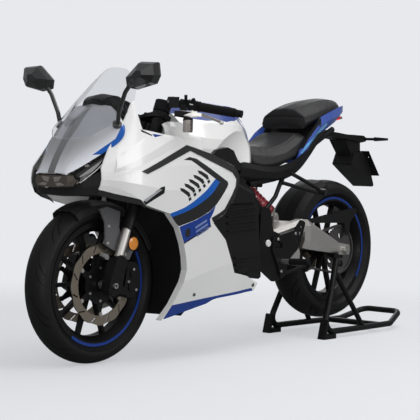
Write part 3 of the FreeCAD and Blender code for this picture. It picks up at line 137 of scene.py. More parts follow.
def shader_group(name, inputs, outputs):
    """Start a node group with named sockets; gives the tree and its two end nodes."""
    tree = bpy.data.node_groups.new(name, "ShaderNodeTree")
    kinds = {"float": "NodeSocketFloat", "color": "NodeSocketColor", "vector": "NodeSocketVector"}
    for label, kind, default in inputs:
        socket = tree.interface.new_socket(label, in_out="INPUT", socket_type=kinds[kind])
        socket.default_value = default
    for label, kind in outputs:
        tree.interface.new_socket(label, in_out="OUTPUT", socket_type=kinds[kind])
    return tree, tree.nodes.new("NodeGroupInput"), tree.nodes.new("NodeGroupOutput")


def put_out(tree, end, **outputs):
    """Link a group's results to its named outputs."""
    for key, output in outputs.items():
        feed(tree, end.inputs[key.replace("_", " ")], output)


def make_grain_group():
    """Moulded grain: fine pits and a slow change of tone, as injection-moulded plastic has."""
    tree, start, end = shader_group(
        "moulded_grain",
        [("Color", "color", (0.03, 0.03, 0.03, 1)), ("Pits", "float", 900.0), ("Tone", "float", 0.25)],
        [("Color", "color"), ("Roughness Change", "float"), ("Height", "float")])
    pits = add(tree, "ShaderNodeTexVoronoi", Vector=object_place(tree), Scale=start.outputs["Pits"])
    slow = add(tree, "ShaderNodeTexNoise", Vector=object_place(tree), Scale=9.0, Detail=4.0)
    shade = math_node(tree, "MULTIPLY_ADD", slow.outputs["Fac"], start.outputs["Tone"], 1.0)
    put_out(tree, end,
            Color=shaded(tree, start.outputs["Color"], shade),
            Roughness_Change=math_node(tree, "MULTIPLY", slow.outputs["Fac"], 0.12),
            Height=pits.outputs["Distance"])
    return tree


def make_paint_group():
    """Sprayed paint: metal flake in the colour and a faint orange-peel height."""
    tree, start, end = shader_group(
        "sprayed_paint",
        [("Color", "color", (0.8, 0.8, 0.8, 1)), ("Flake Color", "color", (1, 1, 1, 1)),
         ("Flake", "float", 0.1)],
        [("Color", "color"), ("Height", "float")])
    flakes = add(tree, "ShaderNodeTexVoronoi", Vector=object_place(tree), Scale=1500.0)
    bright = math_node(tree, "MULTIPLY", flakes.outputs["Color"], start.outputs["Flake"])
    peel = add(tree, "ShaderNodeTexNoise", Vector=object_place(tree), Scale=260.0, Detail=1.0)
    put_out(tree, end,
            Color=mix_color(tree, bright, start.outputs["Color"], start.outputs["Flake Color"]),
            Height=peel.outputs["Fac"])
    return tree


def make_brushed_group():
    """Brushed metal: long scratches along one axis, in roughness, tone and height."""
    tree, start, end = shader_group(
        "brushed_lines",
        [("Color", "color", (0.6, 0.6, 0.6, 1)), ("Stretch", "vector", (30.0, 900.0, 900.0)),
         ("Tone", "float", 0.3)],
        [("Color", "color"), ("Roughness Change", "float"), ("Height", "float")])
    lines = add(tree, "ShaderNodeTexNoise", Vector=object_place(tree, start.outputs["Stretch"]),
                Scale=1.0, Detail=3.0, Roughness=0.7)
    swing = math_node(tree, "SUBTRACT", lines.outputs["Fac"], 0.5)
    shade = math_node(tree, "MULTIPLY_ADD", swing, start.outputs["Tone"], 1.0)
    put_out(tree, end,
            Color=shaded(tree, start.outputs["Color"], shade),
            Roughness_Change=math_node(tree, "MULTIPLY", lines.outputs["Fac"], 0.18),
            Height=lines.outputs["Fac"])
    return tree


def make_dust_group():
    """Road dust that settles in patches on what faces up, and dulls it a little."""
    tree, start, end = shader_group(
        "road_dust",
        [("Color", "color", (0.1, 0.1, 0.1, 1)), ("Dust Color", "color", (0.32, 0.30, 0.27, 1)),
         ("Amount", "float", 0.1)],
        [("Color", "color"), ("Roughness Change", "float")])
    patches = add(tree, "ShaderNodeTexNoise", Vector=object_place(tree),
                  Scale=22.0, Detail=6.0, Roughness=0.65)
    normal = tree.nodes.new("ShaderNodeNewGeometry").outputs["Normal"]
    up = add(tree, "ShaderNodeSeparateXYZ", Vector=normal).outputs["Z"]
    facing = math_node(tree, "MULTIPLY_ADD", up, 0.35, 0.65)
    settled = math_node(tree, "MULTIPLY", patches.outputs["Fac"], facing)
    mask = math_node(tree, "MULTIPLY", settled, start.outputs["Amount"])
    put_out(tree, end,
            Color=mix_color(tree, mask, start.outputs["Color"], start.outputs["Dust Color"]),
            Roughness_Change=math_node(tree, "MULTIPLY", mask, 0.5))
    return tree


GRAIN = make_grain_group()
PAINT = make_paint_group()
BRUSHED = make_brushed_group()
DUST = make_dust_group()


# Kinds of material

BUMP_HEIGHT = 0.0004
PAINT_RELIEF, METAL_RELIEF = 0.05, 0.12
PAINT_DUST = 0.02
LACQUER_ROUGHNESS = 0.06
GRAIN_TONE = 0.25
GLASS_ROUGHNESS = 0.03


def new_material(name, **sockets):
    """A material with one Principled shader; sockets are its plain values."""
    material = bpy.data.materials.new(name + "_finish")
    material.use_nodes = True
    shader = material.node_tree.nodes["Principled BSDF"]
    for key, value in sockets.items():
        shader.inputs[key.replace("_", " ")].default_value = value
    return material, material.node_tree, shader


def use_group(tree, group, **values):
    """Place a shader group in a material with its own values."""
    node = tree.nodes.new("ShaderNodeGroup")
    node.node_tree = group
    for key, value in values.items():
        set_input(tree, node, key.replace("_", " "), value)
    return node


def lay_surface(tree, shader, effect, dust, roughness, relief):
    """Lay dust over an effect, and feed its colour, roughness and height to the shader."""
    dirt = use_group(tree, DUST, Color=effect.outputs["Color"], Amount=dust)
    feed(tree, shader.inputs["Base Color"], dirt.outputs["Color"])
    rough = dirt.outputs["Roughness Change"]
    if "Roughness Change" in effect.outputs:
        rough = math_node(tree, "ADD", effect.outputs["Roughness Change"], rough)
    feed(tree, shader.inputs["Roughness"], math_node(tree, "ADD", rough, roughness))
    bump = add(tree, "ShaderNodeBump", Strength=relief, Distance=BUMP_HEIGHT,
               Height=effect.outputs["Height"])
    feed(tree, shader.inputs["Normal"], bump.outputs[0])


def painted(name, color, flake_color=(1, 1, 1), flake=0.03, roughness=0.28, coat=0.8,
            metallic=0.0, specular=0.5, color_nodes=None):
    """Sprayed bodywork paint under clear lacquer."""
    material, tree, shader = new_material(
        name, Metallic=metallic, Coat_Weight=coat, Coat_Roughness=LACQUER_ROUGHNESS,
        Specular_IOR_Level=specular)
    base = (*color, 1) if color_nodes is None else color_nodes(tree)
    paint = use_group(tree, PAINT, Color=base, Flake_Color=(*flake_color, 1), Flake=flake)
    lay_surface(tree, shader, paint, PAINT_DUST, roughness, PAINT_RELIEF)
    return material


def moulded(name, color, roughness=0.5, pits=900.0, depth=0.25, dust=0.008, specular=0.08):
    """Moulded plastic, rubber or vinyl with its grain."""
    material, tree, shader = new_material(name, Specular_IOR_Level=specular)
    grain = use_group(tree, GRAIN, Color=(*color, 1), Pits=pits, Tone=GRAIN_TONE)
    lay_surface(tree, shader, grain, dust, roughness, depth)
    return material


def brushed(name, color, stretch=(30.0, 900.0, 900.0), roughness=0.25, tone=0.3, dust=0.05):
    """Bare metal with scratches along the axis that is stretched least, or even grain if none is."""
    material, tree, shader = new_material(name, Metallic=1.0)
    lines = use_group(tree, BRUSHED, Color=(*color, 1), Stretch=stretch, Tone=tone)
    lay_surface(tree, shader, lines, dust, roughness, METAL_RELIEF)
    return material


def glass(name, color, ior=1.45):
    """Clear or tinted lens or screen."""
    return new_material(name, Base_Color=(*color, 1), Roughness=GLASS_ROUGHNESS,
                        Transmission_Weight=1.0, IOR=ior)[0]


# Body paint and graphics, with painted highlights and shade on the cowl, tail and pivot cap

SILVER_GREY = (0.42, 0.43, 0.46)
DEEP_BLACK = (0.004, 0.004, 0.0045)

# The cowl's lower edge, as height over distance ahead, and how far above it the painted highlight fades into
# painted shade
COWL_EDGE_SLOPE, COWL_EDGE_START, COWL_FADE = -0.77, 1.447, 0.075
# The pale end is a painted highlight and the dark end is painted shade
COWL_PAINTED_HIGHLIGHT, COWL_PAINTED_SHADE = (0.86, 0.88, 0.95), (0.25, 0.255, 0.275)


def cowl_painted_light(tree):
    """Painted highlight of pale silver along the cowl's lower edge, fading to painted shade towards the
    screen.
    """
    place = add(tree, "ShaderNodeSeparateXYZ", Vector=object_place(tree))
    edge = math_node(tree, "MULTIPLY_ADD", place.outputs["X"], COWL_EDGE_SLOPE, COWL_EDGE_START)
    above = math_node(tree, "SUBTRACT", place.outputs["Z"], edge)
    fade = add(tree, "ShaderNodeMapRange", Value=above, From_Min=0.0, From_Max=COWL_FADE)
    fade.interpolation_type = "SMOOTHSTEP"
    return mix_color(tree, fade.outputs[0], COWL_PAINTED_HIGHLIGHT, COWL_PAINTED_SHADE)


white_paint = painted("white_paint", (0.80, 0.80, 0.785))
grey_paint = painted("grey_paint", SILVER_GREY, flake=0.25, roughness=0.32, metallic=0.35)
# The cowl's colour holds a painted highlight low down and painted shade near the screen
cowl_paint = painted("cowl_paint", SILVER_GREY, flake=0.25, roughness=0.32, metallic=0.15,
                     color_nodes=cowl_painted_light)
stripe_grey = painted("stripe_grey", (0.085, 0.087, 0.092), flake=0.2, roughness=0.3, metallic=0.3)
blue_paint = painted("blue_paint", (0.008, 0.035, 0.22), flake_color=(0.03, 0.15, 0.6), flake=0.10,
                     coat=0.15, specular=0.25)
tail_blue = painted("tail_blue", (0.035, 0.095, 0.46), flake_color=(0.3, 0.4, 0.9), flake=0.1, coat=0.4)
bright_blue = painted("bright_blue_paint", (0.006, 0.095, 0.42), flake=0.0, coat=0.2, specular=0.25)
# Light blue of the box's bars; on the tail's upward rear faces it is a painted highlight
light_blue = painted("light_blue_paint", (0.16, 0.22, 0.42), flake=0.0)
# Bright blue of the line along the tail's crease: a painted highlight
highlight_blue = painted("sky_blue_paint", (0.16, 0.50, 0.92), flake=0.0, roughness=0.2)
black_gloss = painted("black_gloss", DEEP_BLACK, flake=0.01, roughness=0.25, coat=0.25)
mirror_black = painted("mirror_black", DEEP_BLACK, flake=0.01, roughness=0.22)
# Near-white paint on the polished pivot cap: a painted highlight in place of its reflection
cap_painted_highlight = painted("cap_painted_highlight", (0.80, 0.80, 0.79), flake=0.05, roughness=0.2, metallic=0.1)
spring_red = painted("spring_red", (0.36, 0.008, 0.02), flake=0.02, roughness=0.3)

# Lamps and glass, and the painted reflections on the lamp's front

lamp_bronze = painted("lamp_bronze", (0.10, 0.075, 0.055), flake=0.05, roughness=0.15, metallic=0.6)
# Lighter patches on the lamp's front: painted reflections
lamp_reflection_paint = painted("lamp_reflection_paint", (0.22, 0.19, 0.16), flake=0.3, roughness=0.3, metallic=0.5)
lamp_silver = painted("lamp_silver", (0.45, 0.45, 0.44), flake=0.05, roughness=0.18, metallic=0.7)
amber_lens = painted("amber_lens", (0.72, 0.20, 0.008), flake_color=(1.0, 0.5, 0.1), flake=0.5,
                     roughness=0.2)
screen_clear = glass("screen_clear", (0.80, 0.81, 0.82), ior=1.06)
lens_smoke = glass("lens_smoke", (0.20, 0.18, 0.17))
lens_red = glass("lens_red", (0.45, 0.01, 0.01))
mirror_glass = brushed("mirror_glass", (0.70, 0.72, 0.75), stretch=(9.0, 9.0, 9.0), roughness=0.02,
                       tone=0.02, dust=0.0)

# Plastic, vinyl, powder coat and rubber

bar_black = moulded("bar_black", (0.008, 0.008, 0.009), roughness=0.34, pits=1100.0, depth=0.2)
black_plastic = moulded("black_plastic", (0.008, 0.008, 0.0085), roughness=0.36, specular=0.14)
dark_grey_plastic = moulded("dark_grey_plastic", (0.020, 0.020, 0.021), roughness=0.34)
plate_grey = moulded("plate_grey", (0.11, 0.11, 0.114), roughness=0.36, pits=1200.0)
seat_vinyl = moulded("seat_vinyl", (0.012, 0.012, 0.013), roughness=0.42, pits=420.0, depth=0.5,
                     specular=0.28)
powder_black = moulded("powder_black", DEEP_BLACK, roughness=0.3, pits=1400.0, depth=0.12,
                       specular=0.2)
rubber = moulded("tyre_rubber", (0.008, 0.008, 0.008), roughness=0.42, pits=700.0, depth=0.2,
                 dust=0.015, specular=0.16)
grip_rubber = moulded("grip_rubber", (0.008, 0.008, 0.009), roughness=0.6)

# Bare metal

brushed_silver = brushed("brushed_silver", (0.62, 0.60, 0.57), roughness=0.33)
cast_silver = brushed("cast_silver", (0.50, 0.49, 0.47), stretch=(500.0, 500.0, 500.0), roughness=0.32)
disc_steel = brushed("disc_steel", (0.30, 0.26, 0.21), stretch=(160.0, 160.0, 160.0), roughness=0.3)
dark_steel = brushed("dark_steel", (0.16, 0.15, 0.15), stretch=(300.0, 900.0, 300.0), roughness=0.3)


# Looks of the CAD nodes; the rest is moulded black

LOOKS = {
    white_paint: ["upper_fairing_left", "upper_fairing_right", "side_fairing_left", "side_fairing_right",
                  "tank_cover"],
    cowl_paint: ["nose_cowl"],
    tail_blue: ["tail_cowl"],
    seat_vinyl: ["rider_seat", "pillion_seat"],
    powder_black: ["main_frame", "fork_yokes", "fork_left", "fork_right", "disc_carriers", "brake_calipers",
                   "rear_caliper", "front_rim", "rear_rim", "rider_pegs", "passenger_pegs", "paddock_stand",
                   "side_stand"],
    bar_black: ["handlebar_left", "handlebar_right"],
    black_gloss: ["trim_strips"],
    mirror_black: ["mirror_left", "mirror_right"],
    dark_grey_plastic: ["front_fender", "beak_panel"],
    rubber: ["front_tyre", "rear_tyre"],
    brushed_silver: ["swingarm", "brake_levers", "motor", "fork_sliders"],
    cast_silver: ["rear_shock", "front_axle", "rear_axle"],
    disc_steel: ["front_discs", "rear_disc"],
    dark_steel: ["chain", "rear_sprocket"],
    spring_red: ["shock_spring"],
    screen_clear: ["windscreen"],
    lens_smoke: ["headlight"],
    lens_red: ["tail_lamp"],
}


def dress_cad():
    """Give every CAD node its material."""
    named = {node: look for look, group in LOOKS.items() for node in group}
    for node, piece in cad.items():
        piece.data.materials.clear()
        piece.data.materials.append(named.get(node, black_plastic))


def along_fork(at):
    """Distance of a point along its fork leg from the axle, and out from the leg's middle line."""
    x, z = at.x - FRONT_X, at.z - FRONT_Z
    ahead = x * math.cos(RAKE) + z * math.sin(RAKE)
    return -x * math.sin(RAKE) + z * math.cos(RAKE), math.hypot(ahead, abs(at.y) - LEG_OUT)


# Where a second look starts on a CAD node, in millimetres

TUBE_RADIUS, CASTING_TOP = 19, 128
BLADE_FRONT, BLADE_TOP = 545, 931
CUP_REAR, CUP_INNER, CUP_OUTER, CUP_TOP = 546, 244, 272, 896
PIN_OUT, INNER_PIN_OUT, INNER_PIN_RADIUS = 56.4, 51.6, 80
PASSENGER_PEG_FRONT, PASSENGER_PEG_ROOT, PASSENGER_PEG_BASE = -340, 186, 636
PEG_ROOT = 173
TAIL_TOP_HIGHLIGHT_FRONT = -470
FENDER_PLATE_OUT = 79
# Share of a face's normal that points up, or down
FACES_UP, FACES_DOWN = 0.45, -0.4


def off_tube(at, normal):
    """Castings of a fork slider, below and beside its round tube."""
    along, out = along_fork(at)
    return out > TUBE_RADIUS or along < CASTING_TOP


def off_blade(at, normal):
    """Perch and reservoir of a brake lever."""
    return at.x > BLADE_FRONT or at.z > BLADE_TOP


def fluid_cup(at, normal):
    """Smoked lower part of the reservoir."""
    return CUP_REAR < at.x and CUP_INNER < abs(at.y) < CUP_OUTER and at.z < CUP_TOP


def pin_head(at, normal):
    """Heads of the pins and bolts that hold a front disc."""
    radius = math.hypot(at.x - FRONT_X, at.z - FRONT_Z)
    return abs(at.y) > PIN_OUT or (abs(at.y) > INNER_PIN_OUT and radius < INNER_PIN_RADIUS)


def passenger_peg(at, normal):
    """Passenger's foot peg, outside its hanger."""
    return at.x < PASSENGER_PEG_FRONT and abs(at.y) > PASSENGER_PEG_ROOT and at.z > PASSENGER_PEG_BASE


SECOND_LOOKS = [
    ("fork_sliders", powder_black, off_tube),
    ("brake_levers", bar_black, off_blade),
    ("brake_levers", lens_smoke, fluid_cup),
    ("passenger_pegs", cast_silver, passenger_peg),
    ("rider_pegs", cast_silver, lambda at, normal: abs(at.y) > PEG_ROOT),
    # Upward faces of the tail's rear in lighter blue: a painted highlight
    ("tail_cowl", light_blue, lambda at, normal: at.x < TAIL_TOP_HIGHLIGHT_FRONT and normal.z > FACES_UP),
    ("disc_carriers", cast_silver, pin_head),
    ("nose_cowl", black_plastic, lambda at, normal: normal.z < FACES_DOWN),
    ("front_fender", plate_grey, lambda at, normal: abs(at.y) > FENDER_PLATE_OUT),
]


def dress_faces(node, look, test):
    """Give faces of a CAD node a look by a test of their middle, in millimetres, and their normal."""
    mesh = cad[node].data
    mesh.materials.append(look)
    for face in mesh.polygons:
        if test(face.center / MM, face.normal):
            face.material_index = len(mesh.materials) - 1


# Rounds on the sharp edges of moulded and cast CAD nodes, in metres

SOFT_EDGES = {
    0.0006: ["brake_levers"],
    0.0008: ["handlebar_left", "handlebar_right"],
    0.0010: ["plate_bracket", "rider_pegs", "fork_yokes"],
    0.0012: ["battery_covers", "beak_panel", "mirror_left", "mirror_right", "brake_calipers",
             "rear_caliper", "knee_covers", "paddock_stand"],
    0.0015: ["seat_sides", "swingarm"],
}
SOFTEN_ABOVE = math.radians(38)


def soften_edges():
    """Bevel the sharp edges, as a modifier on the CAD node."""
    for width, nodes in SOFT_EDGES.items():
        for node in nodes:
            bevel = cad[node].modifiers.new("edge_round", "BEVEL")
            bevel.width = width
            bevel.segments = 2
            bevel.limit_method = "ANGLE"
            bevel.angle_limit = SOFTEN_ABOVE


dress_cad()
for node, look, test in SECOND_LOOKS:
    dress_faces(node, look, test)
soften_edges()


# Helpers for pieces

# Edges of a piece stay sharp above this angle, in degrees
FILM_CREASE, STRIPE_CREASE, FITTING_CREASE, TYRE_CREASE = 14, 30, 32, 35


def mesh_piece(name, points, faces, looks, body, crease, replaces=(), face_looks=None):
    """A mesh in metres that rides on a body; a face's look is a number in the list of looks."""
    mesh = bpy.data.meshes.new(name)
    mesh.from_pydata([tuple(p) for p in points], [], [tuple(f) for f in faces])
    for look in looks:
        mesh.materials.append(look)
    if face_looks:
        mesh.polygons.foreach_set("material_index", face_looks)
    form = bmesh.new()
    form.from_mesh(mesh)
    bmesh.ops.recalc_face_normals(form, faces=form.faces)
    form.to_mesh(mesh)
    form.free()
    mesh.update()
    piece = bpy.data.objects.new(name, mesh)
    scene.collection.objects.link(piece)
    mesh.shade_smooth()
    mesh.set_sharp_from_angle(angle=math.radians(crease))
    if replaces:
        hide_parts(*replaces)
    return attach(piece, body)


def ring_faces(a, b):
    """Faces between two rings of point numbers."""
    return list(zip(a, a[1:] + a[:1], b[1:] + b[:1], b))


def numbered(rings):
    """Point numbers of rings that follow each other."""
    count = len(rings[0])
    return [list(range(i * count, (i + 1) * count)) for i in range(len(rings))]


def stacked(rings):
    """Points and faces of a skin over rings of as many points each, closed at both ends."""
    numbers = numbered(rings)
    faces = [tuple(numbers[0]), tuple(numbers[-1])]
    for low, high in zip(numbers, numbers[1:]):
        faces += ring_faces(low, high)
    return [p for ring in rings for p in ring], faces


def circle(centre, radius, u, v, steps):
    """Points round a centre, in the plane of two unit vectors."""
    angles = (math.tau * i / steps for i in range(steps))
    return [centre + radius * (math.cos(t) * u + math.sin(t) * v) for t in angles]


SCREW_SUNK = 1.0


class Build:
    """Collects the solids of one piece, in millimetres."""

    def __init__(self):
        self.points = []
        self.faces = []
        self.face_looks = []

    def stack(self, rings, look=0):
        """Add a solid by its rings, from one end to the other."""
        points, faces = stacked(rings)
        base = len(self.points)
        self.points += [Vector(p) * MM for p in points]
        self.faces += [tuple(base + i for i in face) for face in faces]
        self.face_looks += [look] * len(faces)

    def turned(self, centre, axis, profile, look=0, steps=24):
        """Add a solid of revolution from (radius, height) pairs along an axis."""
        centre, axis = Vector(centre), Vector(axis).normalized()
        u = axis.orthogonal().normalized()
        v = axis.cross(u)
        self.stack([circle(centre + axis * height, radius, u, v, steps) for radius, height in profile], look)

    def screw(self, place, axis, radius):
        """Add a round screw head with a round socket in it, whose foot is sunk into its seat."""
        top, rim, socket = radius * 0.5, radius * 0.82, radius * 0.45
        self.turned(place, axis, [(radius, -SCREW_SUNK), (radius, radius * 0.25), (rim, top),
                                  (socket, top), (socket * 0.9, radius * 0.1)], steps=18)

    def tube(self, path, radius, steps=10):
        """Add a round bar along points, with mitred joints."""
        rings = []
        side = (path[1] - path[0]).orthogonal().normalized()
        for i, p in enumerate(path):
            before = (p - path[i - 1]).normalized() if i else (path[1] - p).normalized()
            after = (path[i + 1] - p).normalized() if i + 1 < len(path) else before
            along = (before + after).normalized()
            side = (side - along * side.dot(along)).normalized()
            rings.append(circle(p, radius, side, along.cross(side), steps))
        self.stack(rings)

    def finish(self, name, looks, body):
        """Make the piece of all that was added."""
        return mesh_piece(name, self.points, self.faces, looks, body, FITTING_CREASE,
                          face_looks=self.face_looks)


def sided(point, side):
    """A point of the left side, or its twin on the right."""
    return Vector((point[0], point[1] * side, point[2]))


def both(outline):
    """Outline of one half, closed with its mirror image across the middle plane."""
    return outline + [(x, -y) for x, y in reversed(outline)]


def moved(outline, step, times):
    """Outline shifted some times by a step."""
    return [(x + step[0] * times, z + step[1] * times) for x, z in outline]


def curve_points(points, steps=6):
    """Smooth line through given points."""
    points = [Vector(p) for p in points]
    ends = [points[0] * 2 - points[1]] + points + [points[-1] * 2 - points[-2]]
    line = []
    for a, b, c, d in zip(ends, ends[1:], ends[2:], ends[3:]):
        for i in range(steps):
            t = i / steps
            line.append(0.5 * (2 * b + (c - a) * t + (2 * a - 5 * b + 4 * c - d) * t * t
                               + (3 * b - a - 3 * c + d) * t ** 3))
    return line + [points[-1]]


def rounded(outline, radius, steps=4):
    """Closed flat outline with its corners rounded."""
    corners = [Vector(p) for p in outline]
    line = []
    for before, corner, after in zip(corners[-1:] + corners[:-1], corners, corners[1:] + corners[:1]):
        room = min((before - corner).length, (after - corner).length) / 2
        start = corner + (before - corner).normalized() * min(radius, room)
        end = corner + (after - corner).normalized() * min(radius, room)
        for i in range(steps + 1):
            t = i / steps
            line.append(start * (1 - t) ** 2 + corner * 2 * t * (1 - t) + end * t * t)
    return line


def on_fork(ahead, along):
    """Place ahead and up, from distances in the fork's own directions from the axle."""
    return (FRONT_X + ahead * math.cos(RAKE) - along * math.sin(RAKE),
            FRONT_Z + ahead * math.sin(RAKE) + along * math.cos(RAKE))


def around_axle(centre, radius, angle, y):
    """Point at a radius and an angle about a wheel's centre."""
    return Vector((centre.x + radius * math.cos(angle), y, centre.z + radius * math.sin(angle)))


# Films: thin closed skins on a CAD node, drawn as seen along one axis

# Metres: how far out rays start, heights that count as one, and the cut's tolerance
CAST_FROM = 3.0
SAME_HEIGHT = 0.0006
CUT_TOLERANCE = 1e-6
# Least share of a face's normal that points along the axis, below which it is seen edge on
LEAST_FACING = 0.05

# How far a film stands proud of its panel, of another film or of the step behind the rider's seat
ON_PANEL = 0.0004
ON_FILM = 0.0008
ON_STEP = 0.0012
# How far the back of a film is sunk into its panel
SUNK = 0.0006


def skin_of(node):
    """Points and triangles of a CAD node, and a tree for ray casts."""
    mesh = cad[node].data
    mesh.calc_loop_triangles()
    points = [v.co.copy() for v in mesh.vertices]
    triangles = [tuple(t.vertices) for t in mesh.loop_triangles]
    return points, triangles, BVHTree.FromPolygons(points, triangles)


def across(axis):
    """The two axes of the plane across an axis."""
    return [i for i in range(3) if i != axis]


def placed(a, b, axis, height):
    """Point from its two places across an axis and its height along it."""
    point = Vector((0, 0, 0))
    first, second = across(axis)
    point[first], point[second], point[axis] = a, b, height
    return point


def cast(tree, a, b, axis, side):
    """Place and normal where a line along an axis, from outside, meets a node."""
    return tree.ray_cast(placed(a, b, axis, side * CAST_FROM), placed(0, 0, axis, -side))[:2]


def seat_on(node, x, z, side):
    """Place and normal, in millimetres, where a line from one side meets a node."""
    place, normal = cast(skin_of(node)[2], x * MM, z * MM, 1, side)
    return place / MM, normal


def flat_corners(outlines):
    """Corners of the outlines in metres, and the loops that join them, all turning left."""
    corners, loops = [], []
    for outline in outlines:
        turn = sum(a[0] * b[1] - b[0] * a[1] for a, b in zip(outline, outline[1:] + outline[:1]))
        loops.append(list(range(len(corners), len(corners) + len(outline))))
        corners += [Vector((a * MM, b * MM)) for a, b in (outline if turn > 0 else outline[::-1])]
    return corners, loops


def add_creases(corners, points, triangles, axis, side):
    """Add a panel's corners by the outlines to the outlines' own; gives the edges between them."""
    first, second = across(axis)
    low = [min(c[i] for c in corners) for i in (0, 1)]
    high = [max(c[i] for c in corners) for i in (0, 1)]
    edges, number_of = [], {}
    for triangle in triangles:
        a, b, c = [points[i] for i in triangle]
        reach = [[p[i] for p in (a, b, c)] for i in (first, second)]
        beside = any(max(reach[i]) < low[i] or min(reach[i]) > high[i] for i in (0, 1))
        if (b - a).cross(c - a)[axis] * side <= 0 or beside:
            continue
        for i in triangle:
            if i not in number_of:
                number_of[i] = len(corners)
                corners.append(Vector((points[i][first], points[i][second])))
        edges += [(number_of[i], number_of[j]) for i, j in zip(triangle, triangle[1:] + triangle[:1])]
    return edges


def film(name, node, outlines, look, axis=1, side=1, proud=ON_PANEL):
    """Thin closed film on a node: flat outlines across an axis, cut along the node's own creases."""
    first, second = across(axis)
    points, triangles, tree = skin_of(node)
    corners, loops = flat_corners(outlines)
    edges = add_creases(corners, points, triangles, axis, side)
    places, _, pieces, _, _, origins = delaunay_2d_cdt(corners, edges, loops, 0, CUT_TOLERANCE)
    known, tops, normals, faces = {}, [], [], []

    def top_point(corner, at, normal):
        """Number of the point over a flat corner, shared by faces that meet there."""
        x, y = places[corner]
        slope = normal[first] * (x - at[first]) + normal[second] * (y - at[second])
        height = at[axis] - slope / normal[axis]
        for other, number in known.setdefault(corner, []):
            if abs(other - height) < SAME_HEIGHT:
                normals[number] += normal
                return number
        known[corner].append((height, len(tops)))
        tops.append(placed(x, y, axis, height))
        normals.append(normal.copy())
        return len(tops) - 1

    for piece, origin in zip(pieces, origins):
        if not origin:
            continue
        middle = sum((places[i] for i in piece), Vector((0, 0))) / len(piece)
        at, normal = cast(tree, middle.x, middle.y, axis, side)
        if at is None or normal[axis] * side < LEAST_FACING:
            continue
        face = tuple(top_point(corner, at, normal) for corner in piece)
        if len(set(face)) == len(face):
            faces.append(face)
    lift = proud if callable(proud) else lambda a, b: proud
    skin = [p + n.normalized() * lift(p[first], p[second]) for p, n in zip(tops, normals)]
    skin += [p - n.normalized() * SUNK for p, n in zip(tops, normals)]
    sides = [(j, i) for face in faces for i, j in zip(face, face[1:] + face[:1])]
    borders = set(sides) - {(i, j) for j, i in sides}
    count = len(tops)
    solid = faces + [tuple(i + count for i in face[::-1]) for face in faces]
    solid += [(i, j, j + count, i + count) for i, j in borders]
    return mesh_piece(name, skin, solid, [look], "chassis", FILM_CREASE)


# Folds of the upper fairing: a ridge with a long flank above it and a short one below

FOLD_END, FOLD_FADE = 470, 90
FOLD = [(880, 711), (752, 764), (587, 830), (FOLD_END, 836)]
FOLD_ABOVE = [(862, 760), (745, 822), (600, 846), (FOLD_END, 838)]
FOLD_BELOW = [(890, 700), (760, 735), (590, 792), (FOLD_END, 820)]
FOLD_HEIGHT, FOLD_EDGE = 0.0065, 0.0002


def at_x(line, x):
    """Height of a broken line, given from front to rear, at a distance ahead."""
    for (x0, z0), (x1, z1) in zip(line, line[1:]):
        if x1 <= x <= x0:
            return z0 + (z1 - z0) * (x0 - x) / (x0 - x1)
    return line[0][1] if x > line[0][0] else line[-1][1]


def fold_share(x, z):
    """Share of the full height at a place: 1 on the ridge, 0 on the lines above and below it."""
    ridge, high, low = at_x(FOLD, x), at_x(FOLD_ABOVE, x), at_x(FOLD_BELOW, x)
    end = min(1.0, max(0.0, (x - FOLD_END) / FOLD_FADE))
    if z >= ridge:
        return end * max(0.0, (high - z) / max(high - ridge, 1.0))
    return end * max(0.0, (z - low) / max(ridge - low, 1.0))


def fold_lift(x, z):
    """How far the fold stands proud at a place, all in metres."""
    return FOLD_EDGE + FOLD_HEIGHT * fold_share(x / MM, z / MM)


for word, side in SIDES:
    flanks = [FOLD + FOLD_ABOVE[::-1], FOLD + FOLD_BELOW[::-1]]
    film("fold_" + word, "upper_fairing_" + word, flanks, white_paint, side=side, proud=fold_lift)


# Graphics of the side fairing, in millimetres along X and up Z

INNER_STRIP = [(551, 750), (515, 761), (476, 755), (302, 670), (299, 658), (315, 648), (342, 663),
               (508, 748)]
WING_BAND = [(930, 641), (784, 600), (694, 651), (672, 654), (676, 629), (770, 588), (930, 626)]
WING_SLOT = [(783, 606), (704, 643), (688, 643), (770, 599)]
CURVE_TOP = curve_points([(650, 551), (544, 579), (452, 625), (372, 683)])
CURVE_LOW = curve_points([(352, 667), (414, 615), (514, 569), (628, 540)])
BAND_REAR = [(303, 653), (368, 586)]
BAND_LOW = curve_points([(411, 558), (482, 531), (581, 507)])
BLUE_BOX = [(577, 505), (482, 529), (411, 556), (375, 581), (385, 557), (405, 529), (399, 507),
            (543, 445)]
BOX_LINE = [(543, 445), (397, 507), (396, 502), (543, 440)]
BOX_MARK = [(540, 494), (520, 500), (512, 486), (514, 470), (528, 464), (540, 470)]
BOX_MARK_ROUND = 6
BOX_BAR = [(488, 503), (424, 530), (422, 522), (486, 495)]
BAR_STEP = (-6, -15)
BARS = 3
LOW_STRIPE = [(561, 213), (342, 231), (102, 251), (92, 238), (330, 200), (604, 150)]
CHEVRON_UPPER = [(586, 648), (564, 645), (530, 631), (522, 618), (535, 612), (541, 619), (568, 632),
                 (580, 636)]
CHEVRON_LOWER = [(521, 615), (515, 605), (528, 598), (534, 609)]
CHEVRON_STEP = (-27, 16)
CHEVRONS = 5

# Graphics of the upper fairing, nose, tank, tail and lamp, and a painted highlight on the tail, by X and Z

